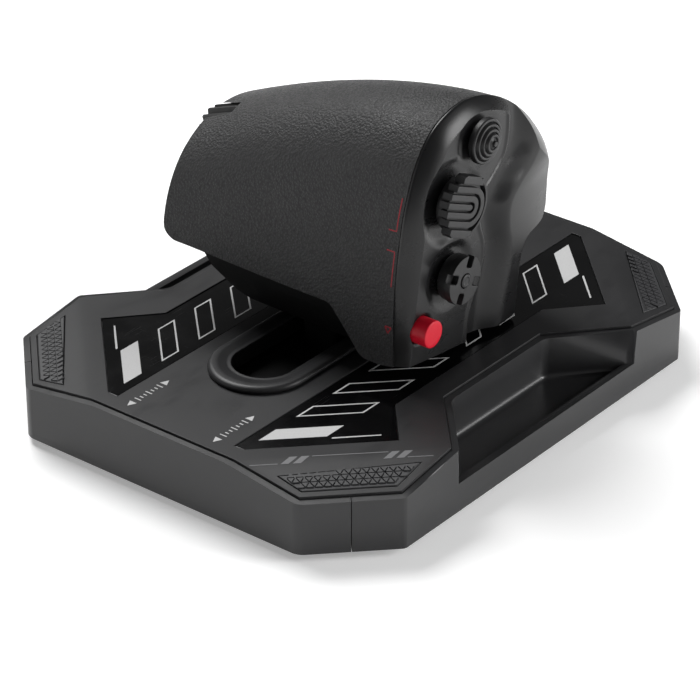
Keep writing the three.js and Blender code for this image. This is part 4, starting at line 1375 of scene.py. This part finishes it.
@dataclass
class Dial:
    """The ribbed dial at the grip's left end, on its tilted axis."""

    ribs: int = 18
    per_rib: int = 8
    steepness: float = 1.9
    radius: float = 12.0
    half: float = 7.5
    rib_height: float = 1.5
    room_radius: float = 12.4
    room_half: float = 7.9
    bores: tuple[tuple[float, float, float, int], ...] = ((3.3, -4, 9, 40), (8.2, -9, -6.3, 56))

    def placed(self, bm: Mesh) -> Mesh:
        """Moves a piece drawn round the X axis onto the dial's axis.

        Args:
            bm: The piece.

        Returns:
            The same mesh.
        """
        joint = next(j for j in frame["joints"] if j["name"] == "dial_turn")
        axis = Vector(joint["axis"]).normalized()
        spot = Vector(joint["pos_m"]) / MM
        turn = Vector((1, 0, 0)).rotation_difference(axis).to_matrix().to_4x4()
        bmesh.ops.transform(bm, matrix=Matrix.Translation(spot) @ turn, verts=bm.verts[:])
        return bm

    def room(self) -> Mesh:
        """The round space that the dial turns in."""
        return self.placed(turned(rod(self.room_radius, -self.room_half, self.room_half), 0, 0, 64))

    def build(self) -> None:
        """Builds the knob with rounded ribs, a chamfered rim and a hub bore."""
        outline = []
        for i in range(self.ribs * self.per_rib):
            angle = 2 * math.pi * i / (self.ribs * self.per_rib)
            wave = math.cos(self.ribs * angle) * self.steepness
            lift = 0.5 + 0.5 * max(-1.0, min(1.0, wave))
            reach = self.radius - self.rib_height * (1 - lift)
            outline.append((reach * math.cos(angle), reach * math.sin(angle)))
        bm = slab(outline, -self.half, self.half, 0.9)
        for radius, back, front, steps in self.bores:
            bm = carved(bm, turned(rod(radius, back, front), 0, 0, steps), "DIFFERENCE")
        settle("dial_wheel", self.placed(bm), Body.DIAL, RUBBER, ["dial_knob"], 35)


@dataclass
class ThumbControls:
    """The stick cap, both hats and the push button."""

    stick: Control
    ribbed: Control
    notched: Control
    button: Control
    stem_radius: float = 2.6
    stem_overlap: float = 1.0
    lean: float = -24.0
    bore_radius: float = 2.95
    red_back: float = 46.0

    def stem(self, control: Control) -> Mesh:
        """The rod that a cap tilts on."""
        shape = rod(self.stem_radius, control.stem_end, control.back + self.stem_overlap)
        return turned(rounded_profile(shape, 0.5), control.y, control.z, 32)

    @staticmethod
    def settle_cap(name: str, bm: Mesh, control: Control, sharp: float) -> None:
        """Settles a rubber cap on its control's own body."""
        settle(name, bm, control.body, RUBBER, [control.node], sharp)

    def leaning(self, bm: Mesh, control: Control) -> Mesh:
        """Turns a hat about its own axis, so that its pattern leans with the thumb."""
        turn = Matrix.Rotation(math.radians(self.lean), 3, "X")
        bmesh.ops.rotate(bm, verts=bm.verts[:], cent=(0, control.y, control.z), matrix=turn)
        return bm

    def build(self) -> None:
        """Builds all four controls."""
        self.stick_cap()
        self.ribbed_hat()
        self.notched_hat()
        self.hat_centre()
        self.push_button()

    def stick_cap(self) -> None:
        """A body with four stepped rings round a small nub."""
        c = self.stick
        shoulder = c.face - 4.1
        points = [(0, c.back), (c.radius - 0.5, c.back), (c.radius, c.back + 0.6), (c.radius, shoulder)]
        for i in range(4):
            outer = c.radius - 0.25 - i * 1.65
            step = shoulder + 0.6 + i * 0.86
            points += [(outer - 0.1, step), (outer - 0.95, step), (outer - 1.1, step - 0.7)]
        points += [(1.15, c.face - 0.9), (1.0, c.face), (0, c.face)]
        bm = joined(turned(rounded_profile(points, 0.22), c.y, c.z, 80), self.stem(c))
        self.settle_cap("stick_cap_rubber", bm, c, 30)

    @staticmethod
    def loop_rib(radius: float, half: float, start: float, centre: float) -> list[Point]:
        """Outline of a U-shaped rib that is closed on the +Y side.

        Args:
            radius: Radius of the bend, to the middle of the rib.
            half: Half the rib's width.
            start: Place of its open ends.
            centre: Place of the bend's centre.

        Returns:
            The outline, as y and z.
        """
        outline = []
        for reach, order in ((radius + half, 1), (radius - half, -1)):
            arc = [math.radians(order * (9 * i - 90)) for i in range(21)]
            bend = [(centre + reach * math.cos(a), reach * math.sin(a)) for a in arc]
            outline += [(start, -order * reach), *bend, (start, order * reach)]
        return outline

    def ribbed_hat(self) -> None:
        """A stepped round hat with ribs nested as loops round a middle bar."""
        c = self.ribbed
        floor = c.face - 1.7
        body = [(0, c.back), (c.radius - 3.4, c.back), (c.radius - 2.6, c.back + 0.7),
                (c.radius - 2.4, floor), (0, floor)]
        parts = [turned(rounded_profile(body, 0.4), c.y, c.z, 80), self.stem(c)]
        shapes = [
            self.loop_rib(3.15, 1.15, -11.6, 2.2),
            self.loop_rib(6.3, 1.15, -9.4, 2.6),
            [(-12.2, -1.15), (2.0, -1.15), (2.9, -0.6), (3.1, 0), (2.9, 0.6), (2.0, 1.15), (-12.2, 1.15)],
            [(-6.6, 8.3), (6.4, 8.3), (5.0, 10.3), (3.6, 11.4), (-5.0, 11.4), (-6.6, 10.4)],
            [(-6.6, -8.3), (-6.6, -10.4), (-5.0, -11.4), (3.6, -11.4), (5.0, -10.3), (6.4, -8.3)],
        ]
        for shape in shapes:
            placed = [(c.y + y, c.z + z) for y, z in shape]
            parts.append(slab(placed, floor - 2.4, c.face - 0.05, 0.32))
        rim = [(c.radius - 2.0, floor - 2.4), (c.radius - 1.5, c.face - 0.6), (c.radius - 0.45, c.face - 0.6),
               (c.radius - 0.2, floor - 2.4)]
        parts.append(self.part_ring(rim, c, 62))
        self.settle_cap("ribbed_hat_rubber", self.leaning(joined(*parts), c), c, 32)

    @staticmethod
    def part_ring(profile: Sequence[Point], control: Control, half_angle: float) -> Mesh:
        """A raised arc on the +Y side of a hat, from a closed profile of radius and x.

        Args:
            profile: Its corners.
            control: The hat.
            half_angle: Half of what the arc spans, in degrees.

        Returns:
            The mesh.
        """
        bm = bmesh.new()
        face = bm.faces.new([bm.verts.new((x, radius, 0)) for radius, x in profile])
        start = Matrix.Rotation(math.radians(-half_angle), 3, "X")
        bmesh.ops.rotate(bm, verts=bm.verts[:], cent=(0, 0, 0), matrix=start)
        made = bmesh.ops.spin(bm, geom=[*bm.verts, *bm.edges, face], cent=(0, 0, 0), axis=(1, 0, 0),
                              angle=math.radians(2 * half_angle), steps=36, use_merge=False)
        last = made["geom_last"]
        if not any(isinstance(item, bmesh.types.BMFace) for item in last):
            bm.faces.new([item for item in last if isinstance(item, Vert)])
        bmesh.ops.translate(bm, verts=bm.verts[:], vec=(0, control.y, control.z))
        bmesh.ops.recalc_face_normals(bm, faces=bm.faces[:])
        return bm

    def notched_hat(self) -> None:
        """A round hat whose top is cut by four notches round a middle bore."""
        c = self.notched
        ledge = c.face - 2.6
        pit = box_mm("notched_hat_centre")[0].x - 1.25
        body = [(0, c.back), (c.radius - 1.2, c.back), (c.radius - 0.7, c.back + 0.6),
                (c.radius - 0.4, ledge), (self.bore_radius, ledge), (self.bore_radius, pit), (0, pit)]
        parts = [turned(rounded_profile(body, 0.4), c.y, c.z, 80), self.stem(c)]
        top = slab(self.notched_outline(c), ledge - 0.5, c.face - 0.3, 0.35)
        bore = turned(rod(self.bore_radius, ledge - 1, c.face + 1), c.y, c.z, 40)
        parts.append(carved(top, bore, "DIFFERENCE"))
        self.settle_cap("notched_hat_rubber", self.leaning(joined(*parts), c), c, 32)

    @staticmethod
    def notched_outline(control: Control, half: float = 1.7, depth: float = 5.4) -> list[Point]:
        """A disc with a square notch up, down and to each side, as y and z.

        Args:
            control: The hat.
            half: Half a notch's width.
            depth: How far from the middle a notch ends.

        Returns:
            The outline.
        """
        reach = control.radius - 0.1
        edge = math.asin(half / reach)
        outline = []
        for i in range(4):
            start = i * math.pi / 2
            angles = [start + edge + (math.pi / 2 - 2 * edge) * k / 14 for k in range(15)]
            outline += [(reach * math.cos(a), reach * math.sin(a)) for a in angles]
            turn = Matrix.Rotation(start + math.pi / 2, 2)
            notch = ((depth, -half), (depth - 0.6, -half + 0.6), (depth - 0.6, half - 0.6), (depth, half))
            outline += [tuple(turn @ Vector(spot)) for spot in notch]
        return [(control.y + y, control.z + z) for y, z in outline]

    def hat_centre(self) -> None:
        """The pressing disc in the middle of the notched hat."""
        low, high = box_mm("notched_hat_centre")
        radius = (high.z - low.z) / 2
        profile = [(0, low.x), (radius, low.x), (radius, high.x - 0.2), (radius - 0.9, high.x),
                   (radius - 1.2, high.x - 0.25), (0, high.x - 0.15)]
        bm = turned(rounded_profile(profile, 0.3), self.notched.y, self.notched.z, 48)
        settle("notched_hat_disc", bm, Body.NOTCHED_CENTRE, RUBBER, ["notched_hat_centre"])

    def push_button(self) -> None:
        """The red push button, faintly crowned, with a rounded rim."""
        c = self.button
        profile = [(0, c.stem_end), (2.3, c.stem_end), (2.3, self.red_back), (c.radius, self.red_back),
                   (c.radius, c.face - 0.25), (c.radius - 0.9, c.face - 0.05),
                   (c.radius * 0.5, c.face - 0.02), (0, c.face)]
        bm = turned(rounded_profile(profile, 0.75, 5), c.y, c.z, 80)
        settle("red_push_button", bm, c.body, RED, ["thumb_button"], 50)


@dataclass
class FingerControls:
    """The rocking paddle and the two finger buttons."""

    def build(self) -> None:
        """Builds the three finger controls."""
        paddle = round_edges(node_copy("rudder_paddle"), 1.0, 3, 35)
        settle("rudder_paddle_bar", paddle, Body.PADDLE, THUMB_SKIN, ["rudder_paddle"])
        for node, body in (("index_button", Body.INDEX), ("ring_button", Body.RING)):
            self.button(node, body)

    def button(self, node: str, body: Body) -> None:
        """A round finger button with a dished face.

        Args:
            node: Its CAD node.
            body: Body that it rides on.
        """
        low, high = box_mm(node)
        radius = (high.x - low.x) / 2
        depth = high.y - low.y
        profile = [(0, 0), (radius, 0), (radius, depth - 0.2), (radius - 0.9, depth),
                   (radius - 1.7, depth - 0.35), (0, depth - 0.6)]
        bm = turned(rounded_profile(profile, 0.5, 4), 0, 0, 56)
        place = Matrix.Translation(((low.x + high.x) / 2, low.y, (low.z + high.z) / 2))
        bmesh.ops.transform(bm, matrix=place @ Matrix.Rotation(math.pi / 2, 4, "Z"), verts=bm.verts[:])
        settle(f"{node}_cap", bm, body, THUMB_SKIN, [node])


@dataclass
class Workings:
    """Every piece that keeps its CAD shape: it only gets its finish."""

    finishes: dict[str, object] = field(default_factory=lambda: {
        "casing": CASING, "gloss_panel": GLOSS, "grip_pad": PAD_GRIP, "grained_shell": GRIP_SKIN,
        "inner_plastic": INNER_BLACK_WITH_PAINTED_SHADE, "foot_rubber": FOOT_RUBBER, "control_rubber": RUBBER, "red_button": RED,
        "rail_steel": STEEL, "bush_brass": BRASS, "circuit_board": BOARD, "gimbal_plastic": ACETAL,
    })

    def dress(self) -> None:
        """Gives every carried-over node the finish of its slot."""
        slots = {row["node"]: row["material_slot"] for row in frame["record"]["subparts"]}
        for name, node in frame["nodes"].items():
            node.data.materials.clear()
            node.data.materials.append(self.finishes[slots[name]].material())
            log.info("%s dressed as %s", name, slots[name])


# ---------------------------------------------------------------- studio
@dataclass
class Studio:
    """Floor, lights and camera."""

    azimuth: float = 38.73
    elevation: float = 29.73
    roll: float = 0.14
    target: tuple[float, float, float] = (12.8, -18.5, 25.0)
    distance: float = 1254.6
    lens: float = 175.7
    floor_half: float = 4.0
    # Radius in metres of the floor's dimmed patch, a painted shadow round the object.
    painted_shadow_reach: float = 0.6
    surround: float = 0.10

    def build(self) -> None:
        """Sets the whole studio up."""
        self.floor()
        self.light("key", (-0.87, 0.22, 1.33), (0.0, 0.0, 0.05), 0.8, 25.0)
        self.light("right", (1.25, 0.75, 0.55), (0.05, 0.0, 0.05), 0.7, 17.0)
        self.light("front", (-0.9, -1.3, 0.5), (0.0, 0.0, 0.05), 0.7, 1.3)
        self.world()
        self.camera()

    def floor(self) -> None:
        """A wide pale floor that glows, with its glow dimmed round the middle as a painted shadow under the
        object.
        """
        bm = bmesh.new()
        bmesh.ops.create_grid(bm, x_segments=1, y_segments=1, size=self.floor_half)
        mesh = bpy.data.meshes.new("floor")
        bm.to_mesh(mesh)
        bm.free()
        floor = bpy.data.objects.new("floor", mesh)
        bpy.context.scene.collection.objects.link(floor)
        tree = Tree("floor")
        # Floor glow: 0.95 far out, falling to 0.30 round the middle as a painted shadow under the object.
        near = tree.node("ShaderNodeTexGradient", {"gradient_type": "SPHERICAL"}, {
            "Vector": tree.mapped([1 / self.painted_shadow_reach] * 3),
        })
        share = Value(tree, near.outputs["Fac"]).above(0.4, 0.7)
        mesh.materials.append(tree.close({
            "Base Color": (0.9, 0.9, 0.9, 1), "Roughness": 0.9, "Specular IOR Level": 0.1,
            "Emission Color": tree.mix(share, (0.95, 0.95, 0.95), (0.30, 0.30, 0.30)),
            "Emission Strength": 1.0,
        }))

    @staticmethod
    def light(name: str, place: Sequence[float], aim: Sequence[float], size: float, watts: float) -> None:
        """Adds a square soft box.

        Args:
            name: Its name.
            place: Where it stands, in metres.
            aim: The point that it faces, in metres.
            size: Its side, in metres.
            watts: Its power.
        """
        lamp = bpy.data.lights.new(name, "AREA")
        lamp.energy = watts
        lamp.size = size
        holder = bpy.data.objects.new(name, lamp)
        holder.location = place
        holder.rotation_mode = "QUATERNION"
        holder.rotation_quaternion = (Vector(aim) - Vector(place)).to_track_quat("-Z", "Y")
        bpy.context.scene.collection.objects.link(holder)

    def world(self) -> None:
        """An even white surround and a plain view transform."""
        world = bpy.data.worlds.new("surround")
        world.use_nodes = True
        background = next(node for node in world.node_tree.nodes if node.type == "BACKGROUND")
        background.inputs["Color"].default_value = (1, 1, 1, 1)
        background.inputs["Strength"].default_value = self.surround
        bpy.context.scene.world = world
        bpy.context.scene.view_settings.view_transform = "Standard"
        bpy.context.scene.view_settings.look = "None"

    def camera(self) -> None:
        """The camera, looking down over the near right corner."""
        around, up = math.radians(self.azimuth), math.radians(self.elevation)
        back = Vector((math.sin(around) * math.cos(up), -math.cos(around) * math.cos(up), math.sin(up)))
        lens = bpy.data.cameras.new("camera")
        lens.lens = self.lens
        lens.clip_start = 0.05
        lens.clip_end = 20
        camera = bpy.data.objects.new("camera", lens)
        camera.location = (Vector(self.target) + back * self.distance) * MM
        camera.rotation_mode = "QUATERNION"
        roll = Matrix.Rotation(math.radians(-self.roll), 4, "Z").to_quaternion()
        camera.rotation_quaternion = (-back).to_track_quat("-Z", "Y") @ roll
        bpy.context.scene.collection.objects.link(camera)
        bpy.context.scene.camera = camera


def main() -> None:
    """Builds the studio and every sub-assembly."""
    logging.basicConfig(level=logging.INFO, format="%(message)s")
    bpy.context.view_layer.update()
    Studio().build()
    Workings().dress()
    Base().build()
    form = GripForm()
    stick = Control("stick_cap", Body.STICK)
    ribbed = Control("ribbed_hat", Body.RIBBED_HAT)
    notched = Control("notched_hat", Body.NOTCHED_HAT)
    button = Control("thumb_button", Body.THUMB_BUTTON)
    GripShells(form).build()
    ThumbPlate(form, (stick, ribbed, notched), button).build()
    ThumbControls(stick, ribbed, notched, button).build()
    Dial().build()
    FingerControls().build()


if __name__ == "__main__":
    main()
